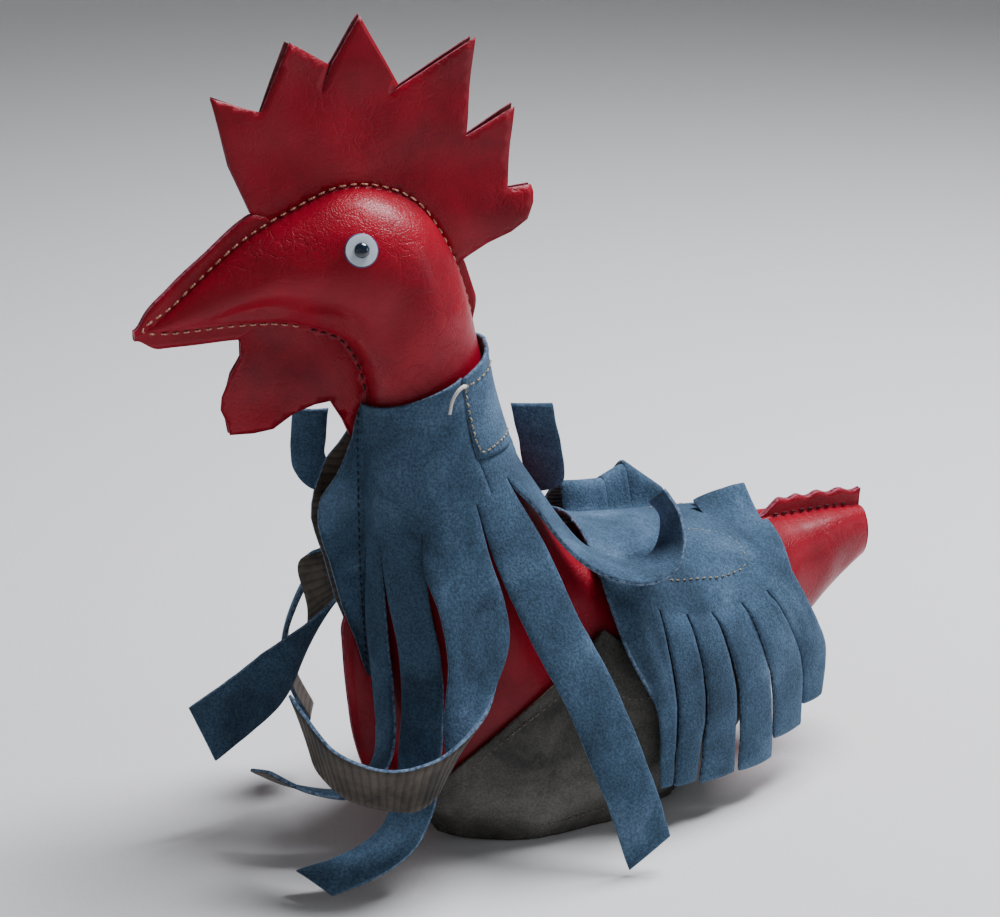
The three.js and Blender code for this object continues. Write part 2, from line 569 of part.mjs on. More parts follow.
// ---- neck strips ----
// Each strip hangs from the cape's foot between two turns, then follows its own middle line:
// stations of x, y, z and the direction across it, from its front edge to its back edge. At the
// first station it is still as wide as the slits on both sides of it leave it.
const DRAWN_CAPE_FACE = 2.9;   // how far off the body the cape's face was when the lines were drawn
const NECK_MIDDLE = -35;       // the neck's axis, which the strips stand off from
const SLIT = SUEDE / 45;       // gap between the cape's foot and a strip, in sections
const neckStrips = [
  { name: 'neck_strip_1', side: 1, turns: [0.965, 0.885], slits: 12.5, width: NARROW_STRIP_WIDTH, line: [
    [13, -67.5, 94, 0.95, 0.3, 0], [18, -68, 71, 0.95, 0.3, 0], [23, -68.5, 54, 0.95, 0.25, 0.1],
    [27, -73, 40, 0.95, 0.1, 0.2], [27, -84, 30.5, 0.97, 0, 0.2], [21, -100, 31, 0.95, 0.2, 0.2],
    [10, -117, 38, 0.9, 0.3, 0.3]] },
  { name: 'neck_strip_2', side: 1, turns: [0.875, 0.705], slits: 18, width: STRIP_WIDTH, line: [
    [26.5, -59, 107, 0.75, 0.66, 0], [32.5, -57.5, 88, 0.75, 0.66, 0], [37.5, -58.5, 70, 0.75, 0.66, 0],
    [41, -61, 52, 0.75, 0.66, 0], [48, -66, 34, 0.8, 0.6, 0], [53, -76, 21, 0.85, 0.5, -0.1],
    [53, -92, 12.5, 0.8, 0.5, -0.2], [50, -109, 7.5, 0.75, 0.5, -0.3]] },
  { name: 'neck_strip_3', side: 1, turns: [0.695, 0.485], slits: 26, width: WIDE_STRIP_WIDTH, line: [
    [35, -42, 122, 0.2, 0.97, 0.1], [42, -39, 107, 0.1, 0.98, 0.1], [48.5, -39, 91, 0, 0.97, 0.2],
    [52.5, -44, 73, -0.05, 0.88, 0.45], [60, -52, 57, 0.05, 0.55, 0.83], [64, -67, 47.5, 0.35, 0.1, 0.93],
    [60, -83, 47, 0.45, -0.15, 0.88], [51, -97, 52, 0.25, -0.25, 0.93], [40, -104, 60, -0.1, -0.2, 0.97],
    [33, -106, 66, -0.35, -0.2, 0.9]] },
  { name: 'neck_strip_4', side: 1, turns: [0.475, 0.305], slits: 21, width: STRIP_WIDTH + 3, line: [
    [38, -17, 124, 0, 0.96, 0.25], [53, -9, 97, 0, 0.93, 0.35], [65, 0, 74, 0, 0.92, 0.38],
    [73, 7.5, 50, 0.05, 0.9, 0.42], [80, 13.5, 28.5, 0.08, 0.85, 0.5], [84, 18, 8.8, 0.11, 0.79, 0.6]] },
  { name: 'neck_strip_5', side: 1, turns: [0.295, 0.12], slits: 18, width: STRIP_WIDTH, line: [
    [25, -4, 140, -0.87, 0.49, 0], [31, 3, 128.5, -0.88, 0.46, 0], [37, 11, 119, -0.9, 0.42, 0],
    [42.5, 21, 113.5, -0.94, 0.33, 0.1], [46, 32, 111.5, -0.95, 0.15, 0.15],
    [45, 42, 114, -0.98, -0.05, 0.1], [40, 48, 120, -0.97, -0.08, 0], [34, 49.5, 128, -0.9, 0, -0.3],
    [29, 46, 135, -0.81, 0.07, -0.58]] },
  { name: 'neck_strip_6', side: -1, turns: [0.965, 0.80], slits: 26, width: WIDE_STRIP_WIDTH, line: [
    [21, -77, 110, -0.75, 0.5, 0.3], [19, -77, 93, -0.65, 0.35, 0.6], [22, -85, 74, -0.4, 0.1, 0.9],
    [25, -98, 60, -0.1, -0.25, 0.95], [24, -114, 50, 0, -0.35, 0.93], [20, -131, 43, 0.1, -0.35, 0.93]] },
  { name: 'neck_strip_7', side: -1, turns: [0.79, 0.65], slits: 16, width: STRIP_WIDTH - 2, line: [
    [33, -64, 118, 0.8, 0.6, 0], [40, -75, 99, 0.85, 0.5, 0], [47, -83, 78, 0.9, 0.4, 0],
    [51, -86, 58, 0.9, 0.4, 0], [49, -83, 43, 0.9, 0.4, 0], [44, -77, 31, 0.9, 0.4, 0]] },
  { name: 'neck_strip_8', side: -1, turns: [0.64, 0.49], slits: 14, width: STRIP_WIDTH - 4, line: [
    [37, -49, 134, 0.3, 0.95, 0], [41, -58, 132, 0.2, 0.95, 0.2], [43, -68, 135, 0, 0.85, 0.4],
    [41, -75, 144, -0.3, 0.85, 0.3], [37, -76.5, 156, -0.4, 0.9, 0], [34, -76, 169, -0.4, 0.9, 0]] },
  { name: 'neck_strip_9', side: -1, turns: [0.475, 0.305], slits: 18, width: STRIP_WIDTH, line: [
    [38, -17, 124, 0, 0.96, 0.25], [50, -10, 98, 0, 0.95, 0.3], [59, -3, 73, 0, 0.95, 0.3],
    [64, 3, 48, 0, 0.95, 0.3], [66, 7, 24, 0, 0.95, 0.3]] },
  { name: 'neck_strip_10', side: -1, turns: [0.295, 0.12], slits: 17, width: STRIP_WIDTH - 1, line: [
    [26, -2, 142, -0.8, 0.6, 0], [28, 6, 132, -0.65, 0.75, 0], [22, 13, 126, -0.5, 0.86, 0],
    [14, 16, 131, -0.42, 0.9, 0], [12, 15, 143, -0.4, 0.91, 0], [13.5, 13.5, 154, -0.4, 0.91, 0],
    [16, 12, 165, -0.4, 0.91, 0]] },
];

// A hinge for a flexing root: its point, and its axis so that a positive turn lifts outwards.
function hinge(a, b, tip) {
  const middle = a.clone().add(b).multiplyScalar(0.5);
  const axis = b.clone().sub(a).normalize();
  const lift = axis.clone().cross(tip.clone().sub(middle));
  const away = new THREE.Vector3(middle.x, 0, 0).setZ(20);
  if (lift.dot(away) < 0) axis.negate();
  return { point: middle.toArray(), axis: axis.toArray() };
}

// Each strip keeps its hinge with its mesh.
function addStrip(name, lines, steps) {
  add(name, strip(lines, SUEDE, steps), 'suede');
  rooster.children.at(-1).userData.hinge = hinge(lines[0][0], lines.at(-1)[0], lines[0].at(-1));
}

// A root that is bent round the neck carries its bow a little way down the strip.
function camber([front, crest, back], middle) {
  const bow = crest.clone().sub(front.clone().lerp(back, 0.5));
  return middle.clone().add(bow);
}

neckStrips.forEach(({ name, side, turns, slits, width, line }) => {
  const stations = line.map(([x, y, z, ...across]) => {
    const away = new THREE.Vector2(x, y - NECK_MIDDLE)
      .setLength(CAPE_LIFT + SUEDE - DRAWN_CAPE_FACE);
    return [x + away.x, y + away.y, z, ...across];
  });
  const [edgeA, edgeB] = edges(stations, width, side);
  [[edgeA[0]], [edgeB[0]]] = edges(stations.slice(0, 1), slits, side);
  const root = [turns[0], (turns[0] + turns[1]) / 2, turns[1]].map((turn) => {
    const point = offsetPoint(capeFoot(turn) + SLIT, turn, CAPE_LIFT + SUEDE / 2);
    return point.setX(point.x * side);
  });
  const middle = edgeA.map((point, i) => point.clone().lerp(edgeB[i], 0.5));
  middle[0].lerp(camber(root, middle[0]), 0.5);
  addStrip(name, [[root[0], ...edgeA], [root[1], ...middle], [root[2], ...edgeB]], 14);
});

// ---- saddle ----
// The body's section across at a given place along it.
function sectionAt(y, turn) {
  let [low, high] = [12, LAST];
  for (let i = 0; i < 22; i += 1) {
    const middle = (low + high) / 2;
    if (bodyPoint(middle, turn).y < y) low = middle;
    else high = middle;
  }
  return (low + high) / 2;
}

const SADDLE_FRONT = 18;
const SADDLE_BACK = 108;
const TAB_FRONT = 84;          // the tab at the back of the saddle is cut free from here
const TAB_HALF_WIDTH = 13;
// On the far side three strips are cut up to this far from the middle and arch off the back.
const RAISED_FROM = 30.4;
const RAISED_TO = 78.4;
const RAISED_ROOT = at(23, 0, 0).x;
const SLIT_GAP = 0.6;
const saddleEdge = (y) => THREE.MathUtils.mapLinear(y, SADDLE_FRONT, SADDLE_BACK, 0.245, 0.3);
const saddlePoint = (y, turn, offset) => offsetPoint(sectionAt(y, turn), turn, offset);
const lengthwise = (y) => at(0, y, 0).y;

function saddleSheet() {
  const grid = (offset) => range(SADDLE_FRONT, SADDLE_BACK, 10).map((y) => {
    const turns = range(0.02, saddleEdge(y), 5);
    const left = turns.map((turn) => saddlePoint(lengthwise(y), turn, offset));
    return [...left.map((p) => p.clone().setX(-p.x)).reverse(), ...left];
  });
  const notch = new THREE.BoxGeometry(TAB_HALF_WIDTH * 2, 60, 60);
  notch.translate(0, lengthwise(TAB_FRONT) + 30, at(0, 0, 105).z);
  const span = lengthwise(RAISED_TO) - lengthwise(RAISED_FROM) + SLIT_GAP;
  const opened = new THREE.BoxGeometry(60, span, 120);
  opened.translate(-(RAISED_ROOT + 30), lengthwise((RAISED_FROM + RAISED_TO) / 2), at(0, 0, 105).z);
  return cut(sheet(grid(SADDLE_LIFT + SUEDE), grid(SADDLE_LIFT)), notch, opened);
}
add('saddle', saddleSheet(), 'suede');

// Where a strip hangs at a height: beyond the widest part of the body above it.
function hangPoint(y, z, lift) {
  let widest = 0;
  for (let turn = 0.05; turn < 0.9; turn += 0.03) {
    const point = bodyPoint(sectionAt(y, turn), turn);
    widest = Math.max(widest, point.x);
    if (point.z < z) break;
  }
  return new THREE.Vector3(widest + SADDLE_LIFT + lift, y, z);
}

// Places along the body of a strip's front and back edges at its root, half way down and at its
// end, then the height of its end. A raised strip arches off the back before it falls.
const saddleStrips = [
  { name: 'saddle_strip_1', side: 1, front: [18.5, 34, 36.5], back: [40.3, 43, 42], foot: 20 },
  { name: 'saddle_strip_2', side: 1, front: [41.7, 44.5, 43.5], back: [52.3, 57, 54], foot: 19 },
  { name: 'saddle_strip_3', side: 1, front: [53.7, 58.5, 56], back: [63.8, 72.5, 73.5], foot: 17 },
  { name: 'saddle_strip_4', side: 1, front: [65.2, 75.5, 78], back: [78.8, 90.5, 94], foot: 16 },
  { name: 'saddle_strip_5', side: 1, front: [80.2, 93.5, 98], back: [92.3, 110, 112], foot: 24 },
  { name: 'saddle_strip_6', side: 1, front: [93.7, 113, 116], back: [108, 127, 124], foot: 36 },
  { name: 'saddle_strip_7', side: -1, front: [18.7, 20, 21], back: [29.7, 31, 33], foot: 24 },
  { name: 'saddle_strip_8', side: -1, front: [31, 32, 35], back: [50.8, 52, 53], foot: 21, raised: 17 },
  { name: 'saddle_strip_9', side: -1, front: [51.6, 54, 55], back: [61.9, 66, 68], foot: 18, raised: 9 },
  { name: 'saddle_strip_10', side: -1, front: [62.7, 68, 71], back: [77.8, 84, 87], foot: 19, raised: 16 },
  { name: 'saddle_strip_11', side: -1, front: [79.3, 88, 92], back: [92.3, 103, 107], foot: 25 },
  { name: 'saddle_strip_12', side: -1, front: [93.3, 108, 112], back: [108, 124, 124], foot: 38 },
];

// The turn at which the body's left side is this wide.
function turnAtWidth(y, x, offset) {
  let turn = 0.02;
  while (saddlePoint(y, turn, offset).x < x) turn += 0.002;
  return turn;
}

function saddleStripEdge([rootY, middleY, endY], foot, side, raised = 0) {
  const offset = SADDLE_LIFT + SUEDE / 2;
  const y = lengthwise(rootY);
  const rootTurn = raised ? turnAtWidth(y, RAISED_ROOT + SLIT_GAP * 2, offset) : saddleEdge(rootY) + 0.006;
  const root = saddlePoint(y, rootTurn, offset);
  const place = (along, z, lift) => hangPoint(lengthwise(along), at(0, 0, z).z, lift + SUEDE / 2);
  const shoulder = place(rootY * 0.7 + middleY * 0.3, 82, STRIP_LIFT * 0.3 + raised);
  const points = [
    root, shoulder, place(middleY, 56, STRIP_LIFT + raised * 0.5), place(endY, foot, STRIP_LIFT),
  ];
  if (raised) points.splice(1, 0, root.clone().add(new THREE.Vector3(raised * 0.55, 0, raised)));
  return points.map((p) => p.setX(p.x * side));
}

saddleStrips.forEach(({ name, side, front, back, foot, raised }) => {
  const lines = [front, back].map((places) => saddleStripEdge(places, foot, side, raised));
  addStrip(name, lines, raised ? 12 : 9);
});

// The tab lies over the root of the tail, with its far edge lifted.
const tabNear = [at(12, TAB_FRONT + 1.8, 109.2), at(12, 95, 108), at(12, 106.5, 107)];
const tabFar = [at(-6, TAB_FRONT - 0.6, 115.5), at(-5.5, 94, 118.5), at(-5, 106, 120)];
addStrip('saddle_tab', [tabNear, tabFar], 5);

// ---- sewing thread ----
function threadLine(points) {
  const line = new THREE.CatmullRomCurve3(points, false, 'centripetal');
  const section = new THREE.Shape();
  section.absarc(0, 0, THREAD / 2, 0, Math.PI * 2);
  return closed(new THREE.ExtrudeGeometry(section, {
    extrudePath: line, steps: points.length * 2, curveSegments: 3,
  }));
}

const stitchFace = SEAM_GAP / 2 + LEATHER + SEAM_GAP + THREAD / 2;
const stitched = (line, from, to, steps, lift) => range(from, to, steps).map((u) => {
  const rise = upperSeam.getPoint(u / LAST).sub(lowerSeam.getPoint(u / LAST)).normalize();
  return line.getPoint(u / LAST).addScaledVector(rise, lift).setX(stitchFace);
});
const stitchLift = THREAD / 2 + SEAM_GAP;
addPair('head_thread', threadLine([
  ...stitched(upperSeam, 8.4, 1.6, 10, stitchLift * 1.5),
  at(0, -151, 220.3).setX(stitchFace + 0.2),
  ...stitched(lowerSeam, 1.6, 9.2, 11, -stitchLift * 1.5),
]), 'thread');

const overPatch = PATCH_LIFT + SUEDE + SEAM_GAP + THREAD / 2;
const patchStitch = [
  [22, 0.43], [20.5, 0.43], [18.6, 0.435], [17.7, 0.445], [17.35, 0.515], [17.3, 0.6], [17.35, 0.66],
  [17.45, 0.72], [17.7, 0.76], [18.1, 0.75], [18.5, 0.735], [19, 0.715], [19.75, 0.69], [20.4, 0.68],
  [21.2, 0.69], [22, 0.7],
];
addPair('patch_thread', threadLine(patchStitch.map(([u, turn]) => offsetPoint(u, turn, overPatch))), 'thread');

const overSaddle = SADDLE_LIFT + SUEDE + SEAM_GAP + THREAD / 2;
const saddleStitch = [
  [64, 0.05], [76, 0.065], [84, 0.1], [87.5, 0.15], [86, 0.195], [76, 0.205], [62, 0.195], [46, 0.195],
];
addPair('saddle_thread', threadLine(saddleStitch.map(
  ([y, turn]) => saddlePoint(lengthwise(y), turn, overSaddle),
)), 'thread');

const overCape = CAPE_LIFT + SUEDE + SEAM_GAP + THREAD / 2;
add('collar_thread', threadLine([
  [10.15, 0.47], [10.7, 0.465], [11.2, 0.455], [11.7, 0.445], [12.1, 0.435],
].map(([u, turn]) => offsetPoint(u, turn, overCape))), 'thread');

export default rooster;
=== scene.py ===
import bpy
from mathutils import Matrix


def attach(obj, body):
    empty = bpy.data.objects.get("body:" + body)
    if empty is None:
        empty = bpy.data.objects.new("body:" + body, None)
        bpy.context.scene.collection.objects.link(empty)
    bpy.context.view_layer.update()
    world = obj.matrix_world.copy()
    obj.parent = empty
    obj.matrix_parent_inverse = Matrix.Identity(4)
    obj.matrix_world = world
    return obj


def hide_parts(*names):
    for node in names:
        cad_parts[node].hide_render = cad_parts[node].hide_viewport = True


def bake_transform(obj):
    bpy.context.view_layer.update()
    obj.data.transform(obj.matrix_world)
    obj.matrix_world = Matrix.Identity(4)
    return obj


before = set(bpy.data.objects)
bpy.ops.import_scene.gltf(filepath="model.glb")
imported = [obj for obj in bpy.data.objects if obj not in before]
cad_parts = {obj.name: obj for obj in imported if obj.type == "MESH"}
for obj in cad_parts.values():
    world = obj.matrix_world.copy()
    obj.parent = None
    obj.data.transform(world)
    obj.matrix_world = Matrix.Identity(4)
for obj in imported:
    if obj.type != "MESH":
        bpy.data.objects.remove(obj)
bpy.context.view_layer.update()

import math
import random

import bpy
import numpy as np
from mathutils import Vector, geometry, noise

# A stuffed leather rooster: two red leather side panels sewn together and stuffed, a suede neck
# cape and a suede saddle cut into fringe, suede patches on the base. The figure's own sizes are
# in millimetres and turn into metres where a mesh is made.

bl_info = {
    "name": "Leather Rooster",
    "version": (1, 0, 0),
    "blender": (4, 5, 0),
    "location": "View3D > Sidebar > Rooster",
    "description": "Builds a stuffed leather rooster with a fringed suede cape and saddle",
    "category": "Add Mesh",
}

MM = 0.001

# ---- stock and clearances, as cut for the solids ----
LEATHER = 1.3
SUEDE = 1.8
SEAM_GAP = 0.3
FLOOR = 3.4
CAPE_LIFT = 1.1
PATCH_LIFT = 0.8
SADDLE_LIFT = 3.2
STRIP_LIFT = 3.4

# ---- body form ----
# Sections from the beak tip round the head and neck to the tail: upper seam y, z, lower seam
# y, z, and how far the side bulges out.
SECTIONS = np.array([
    [-154, 219.5, -154, 217.5, 0.4],
    [-146.5, 221.5, -146.5, 219, 0.6],
    [-131, 234.5, -132, 219, 7],
    [-112, 249, -115, 219, 11.5],
    [-92, 259, -98, 217.5, 17],
    [-74, 265.5, -85, 213.5, 22],
    [-57, 264, -75, 208.5, 25],
    [-42, 255.5, -69.5, 201, 26],
    [-31, 238, -66.5, 193, 25.5],
    [-24, 218, -65, 186, 24],
    [-20, 199, -65, 181, 23],
    [-16, 180, -65, 167, 23.5],
    [-9, 158, -65, 150, 26],
    [2, 138, -65.5, 129, 30],
    [14, 122, -66, 108, 34.5],
    [24, 114, -66, 85, 39],
    [34, 110.5, -65, 60, 43],
    [44, 109, -61, 34, 46],
    [53, 108.5, -50, 8, 47.5],
    [60, 108, -30, -14, 48.7],
    [67, 107.5, -5, -18, 48.4],
    [74, 107, 20, -16, 47],
    [82, 106.5, 45, -8, 44.5],
    [92, 106, 70, 6, 40.5],
    [103, 105.5, 93, 24, 35],
    [116, 105, 112, 47, 28],
    [129, 105, 129, 61, 21.5],
    [144, 105, 145, 72, 15],
    [160, 104, 160, 81, 9],
], float)
LAST = len(SECTIONS) - 1
COLLAR_TOP = 9.9
UPPER, LOWER, HALF = SECTIONS[:, 0:2], SECTIONS[:, 2:4], SECTIONS[:, 4:5]


def smoothstep(value, low, high):
    t = np.clip((np.asarray(value, float) - low) / (high - low), 0, 1)
    return t * t * (3 - 2 * t)


def lerp(a, b, t):
    return a + (b - a) * t


def track(points, u):
    """Smooth curve through evenly numbered points, at any array of places u."""
    ends = (2 * points[:1] - points[1:2], points, 2 * points[-1:] - points[-2:-1])
    points = np.concatenate(ends)
    u = np.clip(np.asarray(u, float), 0, LAST)
    i = np.minimum(u.astype(int), LAST - 1)
    t = (u - i)[..., None]
    p0, p1, p2, p3 = (points[i + k] for k in range(4))
    m1, m2 = (p2 - p0) / 2, (p3 - p1) / 2
    return (p1 + m1 * t + (3 * (p2 - p1) - 2 * m1 - m2) * t ** 2
            + (2 * (p1 - p2) + m1 + m2) * t ** 3)


def body_points(u, turn):
    """Left outer face of the leather; turn runs from 0, upper seam, to 1, lower seam."""
    u, turn = np.broadcast_arrays(np.asarray(u, float), np.asarray(turn, float))
    upper, lower = track(UPPER, u), track(LOWER, u)
    angle = math.pi * turn
    point = upper + (lower - upper) * ((1 - np.cos(angle)) / 2)[..., None]
    fullness = lerp(1.0, 0.8, smoothstep(u, 15, 19))
    swell = np.clip(np.sin(angle), 0, 1) ** fullness
    x = SEAM_GAP / 2 + LEATHER + track(HALF, u)[..., 0] * swell
    return np.stack([x, point[..., 0], np.maximum(point[..., 1], FLOOR)], -1)


def body_normals(u, turn):
    step = 0.02
    u, turn = np.broadcast_arrays(np.asarray(u, float), np.asarray(turn, float))
    along = body_points(np.minimum(u + step, LAST), turn) - body_points(np.maximum(u - step, 0), turn)
    down = body_points(u, np.minimum(turn + step, 1)) - body_points(u, np.maximum(turn - step, 0))
    normal = unit(np.cross(down, along))
    normal = np.where(normal[..., :1] < 0, -normal, normal)
    roundness = np.minimum(track(HALF, u) / 12, 1)
    return unit(lerp(normal, np.array([1.0, 0, 0]), 1 - roundness))


def offset_points(u, turn, offset):
    point = body_points(u, turn) + body_normals(u, turn) * np.asarray(offset, float)[..., None]
    point[..., 2] = np.maximum(point[..., 2], FLOOR - np.asarray(offset, float))
    return point


def unit(vectors):
    return vectors / np.maximum(np.linalg.norm(vectors, axis=-1, keepdims=True), 1e-9)


def spline(points, samples):
    """Centripetal curve through points, sampled evenly over its numbered stretches."""
    points = np.asarray(points, float)
    count = len(points)
    ends = (2 * points[:1] - points[1:2], points, 2 * points[-1:] - points[-2:-1])
    points = np.concatenate(ends)
    gaps = np.sqrt(np.maximum(np.linalg.norm(np.diff(points, axis=0), axis=-1), 1e-4))
    t = np.asarray(samples, float) * (count - 1)
    i = np.minimum(t.astype(int), count - 2)
    t = (t - i)[:, None]
    p0, p1, p2, p3 = (points[i + k] for k in range(4))
    d0, d1, d2 = (gaps[i + k][:, None] for k in range(3))
    m1 = ((p1 - p0) / d0 - (p2 - p0) / (d0 + d1) + (p2 - p1) / d1) * d1
    m2 = ((p2 - p1) / d1 - (p3 - p1) / (d1 + d2) + (p3 - p2) / d2) * d1
    return (p1 + m1 * t + (3 * (p2 - p1) - 2 * m1 - m2) * t ** 2
            + (2 * (p1 - p2) + m1 + m2) * t ** 3)


def lengths(points):
    return np.concatenate([[0], np.cumsum(np.linalg.norm(np.diff(points, axis=0), axis=-1))])


def evenly(points, spacing):
    """The same line with its points a set distance apart."""
    run = lengths(points)
    count = max(int(round(run[-1] / spacing)), 2)
    places = np.linspace(0, run[-1], count + 1)
    return np.stack([np.interp(places, run, points[:, k]) for k in range(3)], -1)


def ripple(points, size, seed):
    """Smooth random values for points, one swell to each stretch of that size."""
    return np.array([noise.noise(Vector(p) / size + Vector((seed, seed * 1.7, 3.1))) for p in points])


# ---- mesh builders ----
def new_piece(name, points, faces, materials, kinds=None, smooth=True, uv=None):
    """A mesh object from points in millimetres; kinds gives each face its material."""
    mesh = bpy.data.meshes.new(name)
    mesh.from_pydata([tuple(p) for p in np.asarray(points, float) * MM], [], [tuple(f) for f in faces])
    for material in materials:
        mesh.materials.append(material)
    if kinds is not None:
        mesh.polygons.foreach_set("material_index", np.asarray(kinds, np.int32))
    mesh.polygons.foreach_set("use_smooth", np.full(len(mesh.polygons), smooth))
    if uv is not None:
        layer = mesh.uv_layers.new(name="cut")
        loops = np.empty(len(mesh.loops), np.int32)
        mesh.loops.foreach_get("vertex_index", loops)
        layer.data.foreach_set("uv", (np.asarray(uv, float)[loops] * MM).ravel())
    mesh.update()
    piece = bpy.data.objects.new(name, mesh)
    bpy.context.scene.collection.objects.link(piece)
    return piece


def place(piece, body, nodes=(), slot=None):
    """Rides the piece on a body and hides the solids it stands for."""
    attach(piece, body)
    finish_piece(nodes)
    return piece


def finish_piece(nodes):
    if nodes:
        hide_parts(*nodes)


def grid_faces(rows, columns, flip=False):
    faces = []
    for i in range(rows - 1):
        for j in range(columns - 1):
            a, b = i * columns + j, (i + 1) * columns + j
            face = (a, b, b + 1, a + 1)
            faces.append(face[::-1] if flip else face)
    return faces


def mirror(points):
    return np.asarray(points, float) * np.array([-1.0, 1, 1])


def thick_sheet(middle, normals, thickness, joined=""):
    """Points, faces, face kinds and flat coordinates of a leather sheet with soft cut edges.

    Kinds are 0 for the nap side, 1 for the back and 2 for the cut edge. An edge named in joined
    (t, b, l or r) carries on into another piece, so it stays square."""
    rows, columns = middle.shape[:2]
    turned = np.cross(middle[1, 0] - middle[0, 0], middle[0, 1] - middle[0, 0])
    flip = (turned * normals[0, 0]).sum() < 0
    half = np.full((rows, columns), thickness / 2)
    worn = 0.72
    whole = slice(None)
    for edge, place in zip("tblr", ((0, whole), (-1, whole), (whole, 0), (whole, -1))):
        if edge not in joined:
            half[place] *= worn
    top = middle + normals * half[..., None]
    bottom = middle - normals * half[..., None]
    points = np.concatenate([top.reshape(-1, 3), bottom.reshape(-1, 3)])
    total = rows * columns
    up = grid_faces(rows, columns, flip)
    down = [tuple(total + k for k in face[::-1]) for face in up]
    rim = [i * columns for i in range(rows)]
    rim += [(rows - 1) * columns + j for j in range(1, columns)]
    rim += [i * columns + columns - 1 for i in range(rows - 2, -1, -1)]
    rim += [j for j in range(columns - 2, 0, -1)]
    sides = []
    for k, a in enumerate(rim):
        b = rim[(k + 1) % len(rim)]
        face = (a, a + total, b + total, b)
        sides.append(face[::-1] if flip else face)
    across = np.concatenate([[0], np.cumsum(np.linalg.norm(np.diff(middle, axis=1), axis=-1).mean(0))])
    down_run = np.concatenate([[0], np.cumsum(np.linalg.norm(np.diff(middle, axis=0), axis=-1).mean(1))])
    flat = np.stack(np.meshgrid(across, down_run), -1).reshape(-1, 2)
    kinds = [0] * len(up) + [1] * len(down) + [2] * len(sides)
    return points, up + down + sides, kinds, np.concatenate([flat, flat])


def edge_columns(width, count, edge=0.35):
    """Places across a sheet from 0 to 1, with one extra just inside each cut edge."""
    inner = np.linspace(edge / width, 1 - edge / width, count)
    return np.concatenate([[0], inner, [1]])


def densify(outline, spacing):
    points = []
    for a, b in zip(outline, outline[1:] + outline[:1]):
        a, b = np.array(a, float), np.array(b, float)
        steps = max(int(np.linalg.norm(b - a) / spacing), 1)
        points += [tuple(a + (b - a) * k / steps) for k in range(steps)]
    return points


def inside(point, outline):
    hit = False
    for (y1, z1), (y2, z2) in zip(outline, outline[1:] + outline[:1]):
        if (z1 > point[1]) != (z2 > point[1]):
            if point[0] < (y2 - y1) * (point[1] - z1) / (z2 - z1) + y1:
                hit = not hit
    return hit


def flat_leaf(outline, spacing):
    """A cut outline (y, z) filled with small triangles: points, faces and rim in order."""
    rim = densify(outline, spacing)
    lows = [min(p[k] for p in rim) for k in (0, 1)]
    highs = [max(p[k] for p in rim) for k in (0, 1)]
    near = np.array(rim)
    inner = []
    for row, z in enumerate(np.arange(lows[1] + spacing, highs[1], spacing * 1.3)):
        for y in np.arange(lows[0] + spacing * (0.6 + 0.75 * (row % 2)), highs[0], spacing * 1.5):
            if inside((y, z), rim) and np.linalg.norm(near - (y, z), axis=1).min() > spacing * 0.6:
                inner.append((y, z))
    points = [Vector(p) for p in rim + inner]
    edges = [(k, (k + 1) % len(rim)) for k in range(len(rim))]
    result = geometry.delaunay_2d_cdt(points, edges, [], 1, 1e-5)
    return np.array([tuple(p) for p in result[0]]), result[2], len(rim)


def leaf_piece(name, outline, near, far, bulge, materials, spacing=2.2):
    """A flat leaf standing on the seam plane between two distances from it, bent by bulge."""
    flat, faces, rim = flat_leaf(outline, spacing)
    wave = bulge(flat)
    count = len(flat)
    x = (near + far) / 2 + wave
    half = np.full(count, (far - near) / 2)
    half[:rim] *= 0.72
    side = 1 if far > near else -1
    outer = np.column_stack([x + abs(half) * side, flat])
    inner = np.column_stack([x - abs(half) * side, flat])
    turned = [tuple(f) if triangle_faces_out(flat, f) else tuple(f[::-1]) for f in faces]
    if side < 0:
        turned = [f[::-1] for f in turned]
    back = [tuple(count + k for k in f[::-1]) for f in turned]
    walls = []
    for k in range(rim):
        n = (k + 1) % rim
        walls.append((k, n, n + count, k + count))
    kinds = [0] * len(turned) + [1] * len(back) + [2] * len(walls)
    uv = np.concatenate([flat, flat])
    return new_piece(name, np.concatenate([outer, inner]), turned + back + walls, materials, kinds, uv=uv)


def triangle_faces_out(flat, face):
    a, b, c = (flat[k] for k in face[:3])
    return (b[0] - a[0]) * (c[1] - a[1]) - (b[1] - a[1]) * (c[0] - a[0]) > 0


def lathe_piece(name, seat, axis, profile, segments, materials, kinds=None):
    """A turned piece on the axis; its profile is (radius, height)."""
    axis = unit(np.asarray(axis, float))
    side = unit(np.cross(axis, [0.0, 0.3, 1.0]))
    other = np.cross(axis, side)
    points, faces, marks = [], [], []
    for radius, height in profile:
        for k in range(segments):
            angle = 2 * math.pi * k / segments
            points.append(seat + axis * height + (side * math.cos(angle) + other * math.sin(angle)) * radius)
    for i in range(len(profile) - 1):
        for k in range(segments):
            n = (k + 1) % segments
            faces.append((i * segments + k, i * segments + n, (i + 1) * segments + n, (i + 1) * segments + k))
            marks.append(kinds[i] if kinds else 0)
    return new_piece(name, points, faces, materials, marks)


